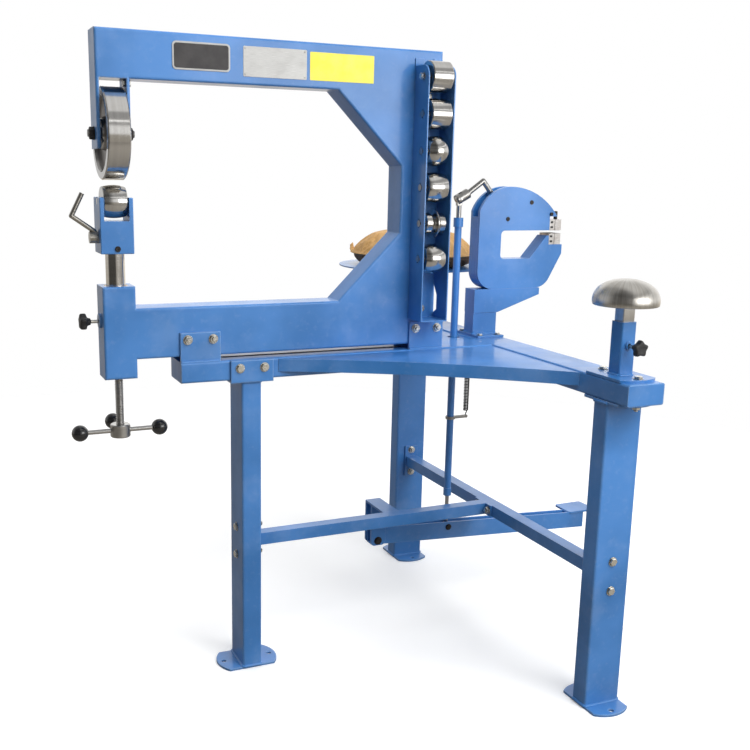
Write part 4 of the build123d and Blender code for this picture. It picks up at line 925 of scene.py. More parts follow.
def screw_tree():
    """One long threaded bar with a plain end."""
    tree = Tree("lift_thread", {
        "Outer Radius": 10 * mm,
        "Pitch": 4 * mm,
        "Depth": 1.6 * mm,
        "Length": 0.2,
        "Plain Length": 0.03,
        "Base Height": 0.6,
        "Axis X": 0.0,
    })
    outer = tree.input("Outer Radius")
    plain = tree.input("Plain Length")
    length = tree.input("Length") - plain
    pitch = tree.input("Pitch")
    thread = threaded_body(tree, outer, pitch, tree.input("Depth"), length, 28, 8)
    thread = tree.moved(thread, 0.0, 0.0, plain)
    core = tree.moved(tree.cylinder(28, outer * 0.93, plain), 0.0, 0.0, plain * 0.5)
    screw = tree.smooth(tree.join(core, thread))
    return tree.finish(tree.moved(screw, tree.input("Axis X"), 0.0, tree.input("Base Height")))


def spring_tree():
    """A wound spring whose wire runs in to the axis at both ends."""
    tree = Tree("wound_spring", {
        "Turns": 36.0,
        "Coil Radius": 6.4 * mm,
        "Wire Radius": 1.6 * mm,
        "Low Height": 0.58,
        "High Height": 0.76,
        "Hook Length": 12 * mm,
        "Centre X": 0.0,
        "Centre Y": 0.0,
    })
    hook_share = 0.02
    line = tree.node("GeometryNodeCurvePrimitiveLine")
    points = tree.node("GeometryNodeResampleCurve", None, {"Curve": line, "Count": 900})
    share = tree.node("GeometryNodeSplineParameter")
    wound = share.ramp(hook_share, 1.0 - hook_share)
    starting = share.ramp(0.0, hook_share)
    ending = share.ramp(1.0 - hook_share, 1.0)
    low_rise = share.between(0.0, 1.6 * hook_share)
    high_rise = share.between(1.0 - 1.6 * hook_share, 1.0)
    reach = tree.input("Coil Radius") * low_rise * (1.0 - high_rise)
    angle = wound * tree.input("Turns") * (2.0 * math.pi)
    hook = tree.input("Hook Length")
    low = tree.input("Low Height")
    coil = tree.input("High Height") - low - hook * 2.0
    z = low + starting * hook + wound * coil + ending * hook
    x = tree.input("Centre X") + reach * angle.math("COSINE")
    y = tree.input("Centre Y") + reach * angle.math("SINE")
    path = tree.placed(points, Position=tree.vector(x, y, z))
    return tree.finish(tree.wire(path, tree.input("Wire Radius")))


def bead_tree():
    """A weld bead with its ripples along each line of edges."""
    tree = Tree("weld_bead", {
        "Bead Radius": bead_radius,
        "Ripple Length": 5.6 * mm,
        "Step": 1.4 * mm,
        "Seed": 3,
    })
    lines = tree.node("GeometryNodeMeshToCurve", None, {"Mesh": tree.input("Geometry")})
    every = {"Curve": lines, "Length": tree.input("Step")}
    fine = tree.node("GeometryNodeResampleCurve", {"mode": "LENGTH"}, every)
    length = tree.node("GeometryNodeSplineParameter").also("Length")
    ripple = (length / tree.input("Ripple Length")).math("FRACT") * -0.28 + 1.1
    chance = {2: 0.86, 3: 1.14, "Seed": tree.input("Seed")}
    uneven = tree.node("FunctionNodeRandomValue", {"data_type": "FLOAT"}, chance, 1)
    swollen = {"Curve": fine, "Radius": ripple * uneven}
    beads = tree.node("GeometryNodeSetCurveRadius", None, swollen)
    return tree.finish(tree.smooth(tree.wire(beads, tree.input("Bead Radius"))))


def stitch_tree():
    """Short rounded stitches, evenly set round a circle."""
    tree = Tree("stitches", {
        "Count": 120,
        "Circle Radius": 0.2,
        "Stitch Length": 6 * mm,
        "Thread Radius": 0.8 * mm,
        "Centre X": 0.0,
        "Centre Y": 0.0,
        "Height": 1.0,
    })
    ring = {"Vertices": tree.input("Count"), "Radius": tree.input("Circle Radius")}
    points = tree.node("GeometryNodeMeshCircle", None, ring)
    thin = tree.input("Thread Radius")
    stitch = tree.ball(8, 5, thin, tree.input("Stitch Length") * 0.5, thin)
    x, y, z = tree.split(tree.position())
    turn = tree.vector(0.0, 0.0, y.math("ARCTAN2", x))
    rotation = tree.node("FunctionNodeEulerToRotation", None, {0: turn})
    sewn = tree.on_points(points, stitch, Rotation=rotation)
    centre = (tree.input("Centre X"), tree.input("Centre Y"), tree.input("Height"))
    return tree.finish(tree.smooth(tree.moved(sewn, *centre)))


def ridge_tree():
    """Parallel sharp ridges on a jaw's gripping face."""
    tree = Tree("jaw_ridges", {
        "Count": 20,
        "Pitch": 2 * mm,
        "Ridge Length": 0.04,
        "Ridge Height": 0.5 * mm,
    })
    pitch = tree.input("Pitch")
    bar = tree.cylinder(4, tree.input("Ridge Height") * 1.4142, tree.input("Ridge Length"))
    lying = tree.transformed(bar, Rotation=(0.0, math.pi / 2, 0.0))
    row_start = (tree.input("Count") - 1.0) * pitch * -0.5
    row = {
        "Count": tree.input("Count"),
        "Start Location": tree.vector(0.0, row_start, 0.0),
        "Offset": tree.vector(0.0, pitch, 0.0),
    }
    points = tree.node("GeometryNodeMeshLine", None, row)
    return tree.finish(tree.on_points(points, lying))


def rivet_tree():
    """Low round rivet heads on points, facing the near side."""
    tree = Tree("rivets", {"Rivet Radius": 2.2 * mm, "Rivet Rise": 1.1 * mm})
    radius = tree.input("Rivet Radius")
    head = tree.ball(12, 8, radius, tree.input("Rivet Rise"), radius)
    heads = tree.on_points(tree.input("Geometry"), head)
    return tree.finish(tree.smooth(heads))


# Start meshes


def fastener_points(name, bolts):
    """One vertex for each bolt: where its head sits, which way it runs, its grip and nut."""
    mesh = bpy.data.meshes.new(name)
    mesh.from_pydata([start for start, *_ in bolts], [], [])
    columns = {
        "direction": ("FLOAT_VECTOR", [part for _, way, _, _ in bolts for part in way]),
        "grip": ("FLOAT", [grip for _, _, grip, _ in bolts]),
        "has_nut": ("FLOAT", [float(nut) for *_, nut in bolts]),
    }
    for label, (kind, values) in columns.items():
        attribute = mesh.attributes.new(label, kind, "POINT")
        attribute.data.foreach_set("vector" if kind == "FLOAT_VECTOR" else "value", values)
    return mesh


def edge_lines(name, lines):
    """A mesh of edges; a line is its points and whether it closes on itself."""
    points = []
    edges = []
    for line, closed in lines:
        first = len(points)
        points.extend(line)
        edges.extend((first + i, first + i + 1) for i in range(len(line) - 1))
        if closed:
            edges.append((first + len(line) - 1, first))
    mesh = bpy.data.meshes.new(name)
    mesh.from_pydata(points, edges, [])
    return mesh


def rectangle(x, y, z, width_x, width_y, corner=4 * mm):
    """A closed line round a rectangular tube, with a chord across each corner."""
    half_x = width_x / 2
    half_y = width_y / 2
    points = []
    for side_x, side_y in ((1, 1), (-1, 1), (-1, -1), (1, -1)):
        along_x = (x + side_x * (half_x - corner), y + side_y * half_y, z)
        along_y = (x + side_x * half_x, y + side_y * (half_y - corner), z)
        points.extend((along_y, along_x) if side_x * side_y > 0 else (along_x, along_y))
    return points, True


# Bolts, in metres. A bolt is its head's seat, its direction, its grip and whether it has a nut


def clamp_bolts():
    """The four bolts through the C-frame and its clamp plates."""
    grip = 2 * (-frame_near_y + plate)
    height = table_top + 54 * mm
    bolts = []
    for clamp_x in clamp_places:
        for side in (-clamp_bolt_side, clamp_bolt_side):
            bolts.append(((clamp_x + side, grip / 2, height), (0, -1, 0), grip, True))
    return bolts


def saddle_bolts():
    """The two bolts through the front leg's saddle."""
    grip = 112 * mm
    height = table_top - 20 * mm
    sides = (-clamp_bolt_side, clamp_bolt_side)
    places = [(front_leg_x + side, -grip / 2, height) for side in sides]
    return [(place, (0, 1, 0), grip, True) for place in places]


def brace_bolts():
    """Two bolts at each end of the braces, and two where the braces meet."""
    grip = 56 * mm
    half_leg = 25 * mm
    bolts = []
    for rise in (-37 * mm, 37 * mm):
        height = brace_z + rise
        bolts.append(((front_leg_x - half_leg, 0, height), (1, 0, 0), grip, True))
        for side in (-1, 1):
            start = (cross_x, side * (leg_y + half_leg), height)
            bolts.append((start, (0, -side, 0), grip, True))
    for side in (-29 * mm, 29 * mm):
        bolts.append(((cross_x + 17.5 * mm, side, brace_z), (-1, 0, 0), 41 * mm, True))
    return bolts


def long_bolts():
    """Bolts down through a post's plate, the cross beam and a leg's flange."""
    start_z = table_top + plate
    grip = start_z - beam_underside + plate
    bolts = []
    for side in (-1, 1):
        for end in (-62 * mm, 62 * mm):
            start = (cross_x, side * (leg_y + end), start_z)
            bolts.append((start, (0, 0, -1), grip, True))
    return bolts


def cheek_screw():
    """The screw through the fork's right cheek, with a nut inside the fork."""
    start = (shaft_axis.x + fork_half, -18 * mm, wheel_middle.z + 108.5 * mm)
    return [(start, (-1, 0, 0), 7.5 * mm, True)]


def axle_nuts():
    """The two tall nuts at the upper wheel's axle."""
    nuts = []
    for side in (-1, 1):
        start = (shaft_axis.x + side * fork_half, 0, wheel_middle.z)
        nuts.append((start, (-side, 0, 0), 10 * mm, False))
    return nuts


def rack_screws():
    """The two low-headed screws inside the rack."""
    rack_x = middle_of("anvil_rack").x
    inside = frame_near_y - 3 * mm
    low_screw = low_of("anvil_rack").z + 26 * mm
    high_screw = middle_of("rack_anvil_1").z - 44 * mm
    heights = (low_screw, high_screw)
    return [((rack_x, inside, height), (0, 1, 0), 20 * mm, False) for height in heights]


def stand_screws():
    """The four screws in the shrinker stand's foot."""
    foot = Vector((cross_x + 8.5 * mm, stand_y, table_top + plate))
    screws = []
    for x in (-29 * mm, 29 * mm):
        for y in (-48 * mm, 48 * mm):
            screws.append(((foot.x + x, foot.y + y, foot.z), (0, 0, -1), 20 * mm, False))
    return screws


def one_bolt(node, inward, grip):
    """A bolt along Y in place of a node, its head's seat moved inward from the near end."""
    middle = middle_of(node)
    start = (middle.x, low_of(node).y + inward, middle.z)
    return [(start, (0, 1, 0), grip, True)]


def bolt_sizes(radius, **given):
    """The fastener tree's inputs; a given size replaces the usual one of its name."""
    settings = bpy.context.scene.wheel_fasteners
    sizes = {
        "Bolt Radius": radius,
        "Across Flats": 3.4 * radius,
        "Head Height": 1.3 * radius,
        "Nut Height": 1.6 * radius,
        "Tip Length": 1.8 * radius + 3 * mm,
        "Washer Thickness": settings.washer,
        "Thread Pitch": settings.pitch,
    }
    sizes.update({name.replace("_", " "): size for name, size in given.items()})
    return sizes


def make_fasteners():
    tree = fastener_tree()
    black = shared(black_oxide)

    def group(name, bolts, sizes, *replaced, body="stand", plated=True):
        points = fastener_points(name + "_points", bolts)
        piece = grow(name, tree, sizes, shared(zinc_plate) if plated else black, points)
        seat(piece, body, "zinc_bolts" if plated else "black_steel", *replaced)

    m8_bolt = bolt_sizes(m8)
    m10_bolt = bolt_sizes(m10)
    stand = clamp_bolts() + saddle_bolts() + brace_bolts()
    group("stand_hex_bolts", stand, m10_bolt, "stand_bolts")
    group("long_hex_bolts", long_bolts(), m10_bolt, "beam_bolts")
    group("foot_screws", stand_screws(), m8_bolt, "small_bolts")
    low_head = bolt_sizes(m8, Head_Height=3.6 * mm)
    group("rack_screws", rack_screws(), low_head, "small_bolts")
    thin_nut = bolt_sizes(m8, Nut_Height=4.6 * mm, Tip_Length=5.5 * mm)
    group("cheek_screw", cheek_screw(), thin_nut, "small_bolts")
    pin = middle_of("rod_bolt")
    rod_bolt = [((pin.x, low_of("pedal_lever").y + 3 * mm, pin.z), (0, 1, 0), 30 * mm, True)]
    group("rod_hex_bolt", rod_bolt, m8_bolt, "rod_bolt", body="pedal", plated=False)
    pivot_bolt = one_bolt("pedal_pivot", 6.5 * mm, 42.6 * mm)
    group("pivot_hex_bolt", pivot_bolt, m10_bolt, "pedal_pivot", plated=False)
    top_spare = middle_of("rack_anvil_1")
    rack_side = (low_of("anvil_rack").x, top_spare.y, top_spare.z)
    tall_head = bolt_sizes(m8, Head_Height=9 * mm)
    group("rack_end_bolt", [(rack_side, (1, 0, 0), 4 * mm, False)], tall_head)
    set_screw = one_bolt("yoke_set_screw", 0.5 * mm, 0.0)[0][0]
    make_cap_screw("yoke_cap_screw", set_screw, (0, -1, 0), 6.5 * mm, 2.5 * mm, "yoke")
    nut = bolt_sizes(6.4 * mm, Across_Flats=24 * mm, Head_Height=11 * mm)
    group("axle_hex_nuts", axle_nuts(), nut, "axle_nuts", plated=False)


def make_lift_screw():
    low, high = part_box("lift_screw")
    values = {
        "Length": high.z - low.z,
        "Outer Radius": (high.x - low.x) / 2,
        "Base Height": low.z,
        "Axis X": shaft_axis.x,
    }
    steel = shared(turned_steel, "screw_steel", "Z", tuple(shaft_axis), 0.3, 0.7)
    screw = grow("lift_screw_thread", screw_tree(), values, steel)
    seat(screw, "screw", "plain_steel", "lift_screw")


def make_return_spring():
    low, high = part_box("return_spring")
    centre = (low + high) / 2
    values = {
        "Low Height": low.z,
        "High Height": high.z,
        "Centre X": centre.x,
        "Centre Y": centre.y,
    }
    spring = grow("wound_return_spring", spring_tree(), values, shared(black_oxide))
    spring.data.shade_smooth()
    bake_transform(spring)
    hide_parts("return_spring")


def weld_lines():
    """Where plates and tubes of the stand are welded."""
    lines = []
    outer = -frame_near_y + plate
    for middle in clamp_places:
        for side in (-1, 1):
            ends = [(middle + end * 47 * mm, side * outer, table_top) for end in (-1, 1)]
            lines.append((ends, False))
    leg_ends = (plate, beam_underside - plate)
    for side in (-1, 1):
        y = side * leg_y
        lines.append(rectangle(cross_x, y, table_top + plate, 40 * mm, 40 * mm))
        lines.extend(rectangle(cross_x, y, z, 100 * mm, 50 * mm) for z in leg_ends)
    lines.extend(rectangle(front_leg_x, 0, z, 50 * mm, 100 * mm) for z in leg_ends)
    post_x = low_of("shrinker_stand").x + 42 * mm
    lines.append(rectangle(post_x, stand_y, table_top + plate, 75 * mm, 48 * mm, 1 * mm))
    return lines


def make_weld_beads():
    start = edge_lines("weld_lines", weld_lines())
    beads = grow("weld_beads", bead_tree(), {}, shared(blue_enamel), start)
    seat(beads, "stand", "blue_paint")


# Knobs


def knob_rings(radius, length, lobes, first):
    """Rings of a moulded knob, from its boss to its dished face, a lobe at a first angle."""
    steps = 10 * lobes
    profile = (
        (0.0, 0.34, 0.0),
        (0.02, 0.40, 0.0),
        (0.26, 0.44, 0.0),
        (0.34, 0.62, 0.5),
        (0.40, 0.93, 1.0),
        (0.47, 1.0, 1.0),
        (0.80, 1.0, 1.0),
        (0.90, 0.95, 1.0),
        (0.96, 0.84, 1.0),
        (0.98, 0.62, 0.6),
        (0.95, 0.34, 0.0),
        (0.94, 0.10, 0.0),
    )
    rings = []
    for height, share, star in profile:
        ring = []
        for step in range(steps):
            angle = 2 * math.pi * step / steps
            wave = lobes * (angle - first)
            lobe = 0.855 + 0.125 * math.cos(wave) + 0.02 * math.cos(2 * wave)
            reach = radius * share * (1 - star + star * lobe)
            ring.append((reach * math.cos(angle), reach * math.sin(angle), height * length))
        rings.append(ring)
    return rings


def softened(piece):
    """Rounds a piece with one level of subdivision."""
    modifier = piece.modifiers.new("Smooth", "SUBSURF")
    modifier.levels = 1
    modifier.render_levels = 1


def make_knob(name, node, body, direction):
    """A five-lobed knob on a bright stud, in place of its plain solid."""
    low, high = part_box(node)
    way = Vector(direction)
    span = abs((high - low).dot(way))
    length = 26 * mm
    stud_length = span - length
    inner = middle_of(node) + way * (span / 2) - way * length
    place = frame_along(inner, way)
    up = place.to_3x3().inverted() @ Vector((0.0, 0.0, 1.0))
    rings = knob_rings(20 * mm, length, 5, math.atan2(up.y, up.x))
    knob = skin(name, rings, shared(knob_plastic), place)
    softened(knob)
    seat(knob, body, "black_plastic", node)
    steps = 40
    rings = []
    for step in range(steps + 1):
        reach = 4.4 * mm - (0.5 * mm if step % 2 else 0.0)
        rings.append(circle(reach, stud_length * step / steps, 20))
    foot = frame_along(inner - way * stud_length, way)
    seat(skin(name + "_stud", rings, shared(zinc_plate), foot), body, "zinc_bolts")


def make_knobs():
    make_knob("lock_star_knob", "lock_knob", "lock", (-1, 0, 0))
    make_knob("dome_star_knob", "dome_knob", "dome_clamp", (0, -1, 0))
    make_knob("bag_star_knob", "bag_knob", "bag_clamp", (0, -1, 0))


# Dome stake


def dome_profile():
    """(radius, height) of the domed head, from its rim's foot to just under its top."""
    rim = ((9, 2.5), (6, 0.6), (4.4, 0.0), (3.0, 0.0), (1.6, 0.8), (1.0, 2.4), (0.2, 6.0))
    profile = [(dome_reach - inward * mm, dome_low + rise * mm) for inward, rise in rim]
    steps = 26
    oval = dome_rise - dome_rim
    for step in range(steps):
        angle = 0.5 * math.pi * step / steps
        reach = dome_reach * math.cos(angle) ** (2 / dome_power)
        rise = oval * math.sin(angle) ** (2 / dome_power)
        profile.append((reach, dome_low + dome_rim + rise))
    return profile


def make_dome():
    """The domed head on its square bar, welded under the head."""
    axis = (cross_x, -leg_y)
    steel = shared(dome_steel)
    rings = [circle(radius, height, 96, axis) for radius, height in dome_profile()]
    seat(skin("dome_head", rings, steel), "dome", "plain_steel", "dome_stake")
    low = low_of("dome_stake").z
    high = dome_low + 2.6 * mm
    corner = 1.6 * mm
    rings = []
    for height, inset in ((low, corner), (low + corner, 0.0), (high - corner, 0.0), (high, 0.0)):
        flat = dome_bar / 2 - inset - corner
        rings.append(rounded_ring(flat, flat, corner, height, 4, axis))
    seat(skin("dome_square_bar", rings, steel), "dome", "plain_steel")


# Sandbag


def bag_profile():
    """(radius, height) of the filled bag from its foot over the sewn lip to the crown."""
    low = bag_box[0].z
    lip = low + bag_lip_rise
    top = bag_box[1].z - 4 * mm
    return (
        (0.0, low),
        (0.080, low),
        (0.150, low + 0.5 * mm),
        (0.166, low + 4 * mm),
        (0.180, low + 12 * mm),
        (0.189, low + 23 * mm),
        (0.190, lip - 6 * mm),
        (0.192, lip - 3.2 * mm),
        (0.2045, lip - 2.2 * mm),
        (0.2045, lip + 2.2 * mm),
        (0.192, lip + 3.2 * mm),
        (0.184, lip + 12 * mm),
        (0.170, lip + 27 * mm),
        (0.140, top - 17 * mm),
        (0.100, top - 8 * mm),
        (0.050, top - 2.5 * mm),
        (0.0, top - 1.5 * mm),
    )


def bag_shell():
    axis = (bag_middle.x, bag_middle.y)
    rings = [circle(radius, height, 96, axis) for radius, height in bag_profile()[1:-1]]
    return skin("leather_sandbag", rings, shared(tan_leather))


def applied(piece):
    """Puts what the modifiers make into the piece's own mesh."""
    graph = bpy.context.evaluated_depsgraph_get()
    mesh = bpy.data.meshes.new_from_object(piece.evaluated_get(graph))
    piece.modifiers.clear()
    piece.data = mesh
    return piece


def pinned_share(vertex):
    """1 where the bag is held: on its tray and at the sewn lip."""
    reach = math.hypot(vertex.co.x - bag_middle.x, vertex.co.y - bag_middle.y)
    rise = vertex.co.z - bag_box[0].z
    on_tray = rise < 4 * mm
    at_lip = reach > 0.1925 and abs(rise - bag_lip_rise) < 10 * mm
    return 1.0 if on_tray or at_lip else 0.0


def fill_with_sand(bag):
    """Remeshes the leather and presses it out as cloth, with each point's move capped."""
    settings = bpy.context.scene.wheel_leather
    remesh = bag.modifiers.new("Remesh", "REMESH")
    remesh.mode = "VOXEL"
    remesh.voxel_size = settings.voxel
    applied(bag)
    rest = [vertex.co.copy() for vertex in bag.data.vertices]
    held = bag.vertex_groups.new(name="held")
    for vertex in bag.data.vertices:
        held.add([vertex.index], pinned_share(vertex), "REPLACE")
    cloth = bag.modifiers.new("Cloth", "CLOTH")
    cloth.settings.quality = 6
    cloth.settings.mass = 0.35
    cloth.settings.bending_stiffness = 0.4
    cloth.settings.shrink_min = -0.045
    cloth.settings.use_pressure = True
    cloth.settings.uniform_pressure_force = settings.pressure
    cloth.settings.vertex_group_mass = "held"
    cloth.settings.effector_weights.gravity = 0.0
    cloth.collision_settings.use_self_collision = False
    cloth.point_cache.frame_start = 1
    cloth.point_cache.frame_end = 20
    for number in range(1, 21):
        bpy.context.scene.frame_set(number)
    applied(bag)
    bpy.context.scene.frame_set(1)
    for vertex, start in zip(bag.data.vertices, rest):
        move = vertex.co - start
        if move.length > 9 * mm:
            vertex.co = start + move.normalized() * 9 * mm


def pucker(bag):
    """Gathers the leather towards the lip and dents the crown where it has been worked."""
    random.seed(11)
    ear_angle = 2.72
    waves = [(random.randint(18, 60), random.uniform(0, 2 * math.pi)) for _ in range(6)]
    dents = []
    for _ in range(9):
        angle = random.uniform(0, 2 * math.pi)
        reach = 0.15 * math.sqrt(random.random())
        dents.append((reach * math.cos(angle), reach * math.sin(angle), random.uniform(0.02, 0.05)))
    low = bag_box[0].z
    lip = low + bag_lip_rise
    for vertex in bag.data.vertices:
        x = vertex.co.x - bag_middle.x
        y = vertex.co.y - bag_middle.y
        reach = math.hypot(x, y)
        angle = math.atan2(y, x)
        gather = sum(math.sin(count * angle + phase) for count, phase in waves) / 6
        off_lip = abs(vertex.co.z - lip) / mm
        near_lip = max(0.0, 1 - off_lip / 30) * min(1.0, max(0.0, off_lip - 4) / 6)
        if reach > 0.12 and reach < 0.193:
            push = 1.9 * mm * gather * near_lip
            vertex.co.x += push * x / reach
            vertex.co.y += push * y / reach
            vertex.co.z += 0.7 * push
        ear = math.exp(-(math.remainder(angle - ear_angle, 2 * math.pi) / 0.10) ** 2)
        if reach > 0.188 and off_lip < 6:
            vertex.co.z += 9 * mm * ear
            vertex.co.z += 4 * mm * ear * (vertex.co.z - lip) / (3 * mm)
        if vertex.co.z > lip + 12 * mm and reach < 0.185:
            sink = 0.0
            for dent_x, dent_y, size in dents:
                far = math.hypot(x - dent_x, y - dent_y) / size
                sink += math.exp(-far * far)
            vertex.co.z -= 1.6 * mm * sink
        vertex.co.z = min(max(vertex.co.z, low), bag_box[1].z + 4 * mm)


def make_sandbag():
    bag = bag_shell()
    fill_with_sand(bag)
    pucker(bag)
    bag.data.shade_smooth()
    modifier = bag.modifiers.new("Smooth", "SUBSURF")
    modifier.levels = 1
    modifier.render_levels = 1
    applied(bag)
    seat(bag, "bag", "leather", "sandbag")
    lip = bag_box[0].z + bag_lip_rise
    thread = shared(waxed_thread)
    count = bpy.context.scene.wheel_leather.stitches
    for name, height in (("upper_stitches", lip + 2.9 * mm), ("lower_stitches", lip - 2.9 * mm)):
        values = {
            "Count": count,
            "Circle Radius": 0.1985,
            "Centre X": bag_middle.x,
            "Centre Y": bag_middle.y,
            "Height": height,
        }
        seat(grow(name, stitch_tree(), values, thread), "bag", "leather")


# Plates on the arm, and the jaws' details


def rounded_plate(name, x_span, z_span, face_y, thickness, corner, material, body="stand"):
    """A thin plate with round corners and a soft front edge, lying against the near face."""
    half_x = (x_span[1] - x_span[0]) / 2
    half_z = (z_span[1] - z_span[0]) / 2
    centre = ((x_span[0] + x_span[1]) / 2, face_y, (z_span[0] + z_span[1]) / 2)
    rings = []
    for depth, inset in ((0.0, 0.0), (0.7, 0.0), (1.0, 0.35)):
        ring = []
        cut = inset * thickness
        for quarter, (side_x, side_z) in enumerate(((1, 1), (-1, 1), (-1, -1), (1, -1))):
            for step in range(7):
                angle = math.pi / 2 * (quarter + step / 6)
                ring.append((
                    side_x * (half_x - corner) + (corner - cut) * math.cos(angle),
                    side_z * (half_z - corner) + (corner - cut) * math.sin(angle),
                    depth * thickness,
                ))
        rings.append(ring)
    turn = Matrix(((1, 0, 0, 0), (0, 0, -1, 0), (0, 1, 0, 0), (0, 0, 0, 1)))
    piece = skin(name, rings, material, Matrix.Translation(Vector(centre)) @ turn, False)
    return seat(piece, body, "plain_steel")


def make_plates():
    metal = shared(plate_metal)
    black_pair = (0.025, 0.023, 0.024), (0.07, 0.065, 0.065)
    yellow_pair = (0.86, 0.74, 0.055), (0.78, 0.70, 0.20)
    dark = shared(enamel_field, "dark_enamel", *black_pair)
    yellow = shared(enamel_field, "yellow_enamel", *yellow_pair)

    def span(start, end):
        return shaft_axis.x + start * mm, shaft_axis.x + end * mm

    arm_top = high_of("c_frame").z
    base = arm_top - 18 * mm
    face = frame_near_y
    rounded_plate("badge_rim", span(132, 266), (base - 61 * mm, base), face, 1.6 * mm, 9 * mm, metal)
    rounded_plate(
        "badge_field", span(136, 262), (base - 57 * mm, base - 4 * mm),
        face - 1.6 * mm, 0.5 * mm, 6 * mm, dark,
    )
    rounded_plate("data_plate", span(297, 453), (base - 68 * mm, base - 1 * mm), face, 0.9 * mm, 3 * mm, metal)
    rounded_plate("yellow_plate", span(461, 627), (base - 68 * mm, base - 4 * mm), face, 0.5 * mm, 2 * mm, yellow)
    left, right = span(297 + 5, 453 - 5)
    corners = [(x, face - 0.9 * mm, z) for x in (left, right) for z in (base - 63 * mm, base - 6 * mm)]
    start = edge_lines("rivet_points", [([corner], False) for corner in corners])
    seat(grow("plate_rivets", rivet_tree(), {}, metal, start), "stand", "plain_steel")
    # Painted shade: a dark strip in the shaded gap under the C-frame
    make_packing_strip()


def make_packing_strip():
    """A dark strip in the gap between the C-frame and the beam under it: painted shade where the gap lies in
    shadow.
    """
    shade_black = shared(black_oxide)
    start, end = shaft_axis.x + 236 * mm, shaft_axis.x + 742 * mm
    rise = (table_top + 0.5 * mm, low_of("c_frame").z - 0.5 * mm)
    # A dark sheet that stands in for the shade in the gap
    strip = rounded_plate("gap_shade_strip", (start, end), rise, 2 * mm, 4 * mm, 1.5 * mm, shade_black)


def make_jaw_details():
    """Ridges on both gripping faces, and the two screws beside the upper jaw."""
    steel = shared(jaw_steel)
    tree = ridge_tree()
    for node, body, face in (("upper_jaw", "jaw", 0), ("lower_jaw", "stand", 1)):
        low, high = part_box(node)
        width = high.y - low.y - 4 * mm
        values = {
            "Count": int(width / (2 * mm)),
            "Pitch": 2 * mm,
            "Ridge Length": high.x - low.x - 2 * mm,
            "Ridge Height": 0.35 * mm,
        }
        ridges = grow(node + "_ridges", tree, values, steel)
        centre = (low + high) / 2
        edge_z = (low, high)[face].z
        ridges.data.transform(Matrix.Translation((centre.x, centre.y, edge_z)))
        seat(ridges, body, "jaw_steel")
    low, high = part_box("upper_jaw")
    near = low_of("shrinker_near_plate").y + 11 * mm
    place = (high.x - 13 * mm, near, high.z - 1 * mm)
    make_cap_screw("jaw_clamp_screw", place, (0, 0, 1), 5.5 * mm, 24 * mm, "jaw")
    face = low_of("shrinker_near_plate").y
    place = (low.x + 3 * mm, face, high.z + 15 * mm)
    make_cap_screw("plate_clamp_screw", place, (0, -1, 0), 5.0 * mm, 5 * mm, "stand")
    make_jaw_windows()


def make_jaw_windows():
    """Dark plates in the jaws' windows: painted shade in the openings."""
    window_shade = shared(knob_plastic)
    for node, body in (("upper_jaw", "jaw"), ("lower_jaw", "stand")):
        low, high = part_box(node)
        near = low.y + 1.0 * mm
        for number, share in enumerate((0.28, 0.74)):
            middle = low.z + share * (high.z - low.z)
            rise = (middle - 3.2 * mm, middle + 3.2 * mm)
            span = (low.x + 3.2 * mm, low.x + 11.8 * mm)
            name = f"{node}_insert_{number + 1}"
            # A dark plate that stands in for the shade inside the window
            piece = rounded_plate(name, span, rise, near, 1.2 * mm, 1.2 * mm, window_shade, body)


def make_cap_screw(name, place, direction, radius, height, body):
    """A socket cap screw's head with a knurled side and a hexagonal socket."""
    steps = 36
    rings = []
    for share, reach in ((0.0, 0.97), (0.08, 1.0), (0.86, 1.0), (1.0, 0.88), (1.0, 0.56), (0.55, 0.5)):
        ring = []
        for step in range(steps):
            angle = 2 * math.pi * step / steps
            knurl = 0.03 if step % 2 and reach > 0.95 else 0.0
            side = math.cos(math.pi / 6) / math.cos((angle % (math.pi / 3)) - math.pi / 6)
            shape = side if reach < 0.6 else 1.0
            size = radius * (reach - knurl) * shape
            ring.append((size * math.cos(angle), size * math.sin(angle), share * height))
        rings.append(ring)
    screw = skin(name, rings, shared(black_oxide), frame_along(place, direction), False)
    seat(screw, body, "black_steel")


# Finishes on the pieces that keep their CAD shape

painted = (
    "c_frame", "front_beam", "cross_beam", "near_corner_tray", "far_corner_tray", "front_leg",
    "near_leg", "far_leg", "front_brace", "cross_brace", "anvil_rack", "shrinker_stand",
    "shrinker_near_plate", "shrinker_far_plate", "shrinker_spine", "pull_rod_tube",
    "pedal_bracket", "pedal_lever", "tool_posts", "anvil_yoke", "bag_tray",
)


# Welded box and tube, whose edges are rounder than a plate's
round_edged = ("c_frame", "front_beam", "cross_beam", "front_leg", "near_leg", "far_leg")


def give(node, material):
    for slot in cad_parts[node].material_slots:
        slot.material = material


def turned_pieces():
    """Nodes turned on a lathe, with their axis and how they are finished."""
    pieces = {
        "lower_anvil": ("X", 0.12, 1.0),
        "lift_shaft": ("Z", 0.08, 1.05),
        "wheel_bearings": ("X", 0.3, 0.7),
        "hand_wheel": ("Z", 0.26, 0.85),
        "wheel_axle": ("X", 0.35, 0.45),
        "anvil_axle": ("X", 0.2, 0.9),
        "clevis_pin": ("Y", 0.25, 0.8),
    }
    for number in range(1, 7):
        pieces[f"rack_anvil_{number}"] = ("X", 0.13, 1.0)
    return pieces


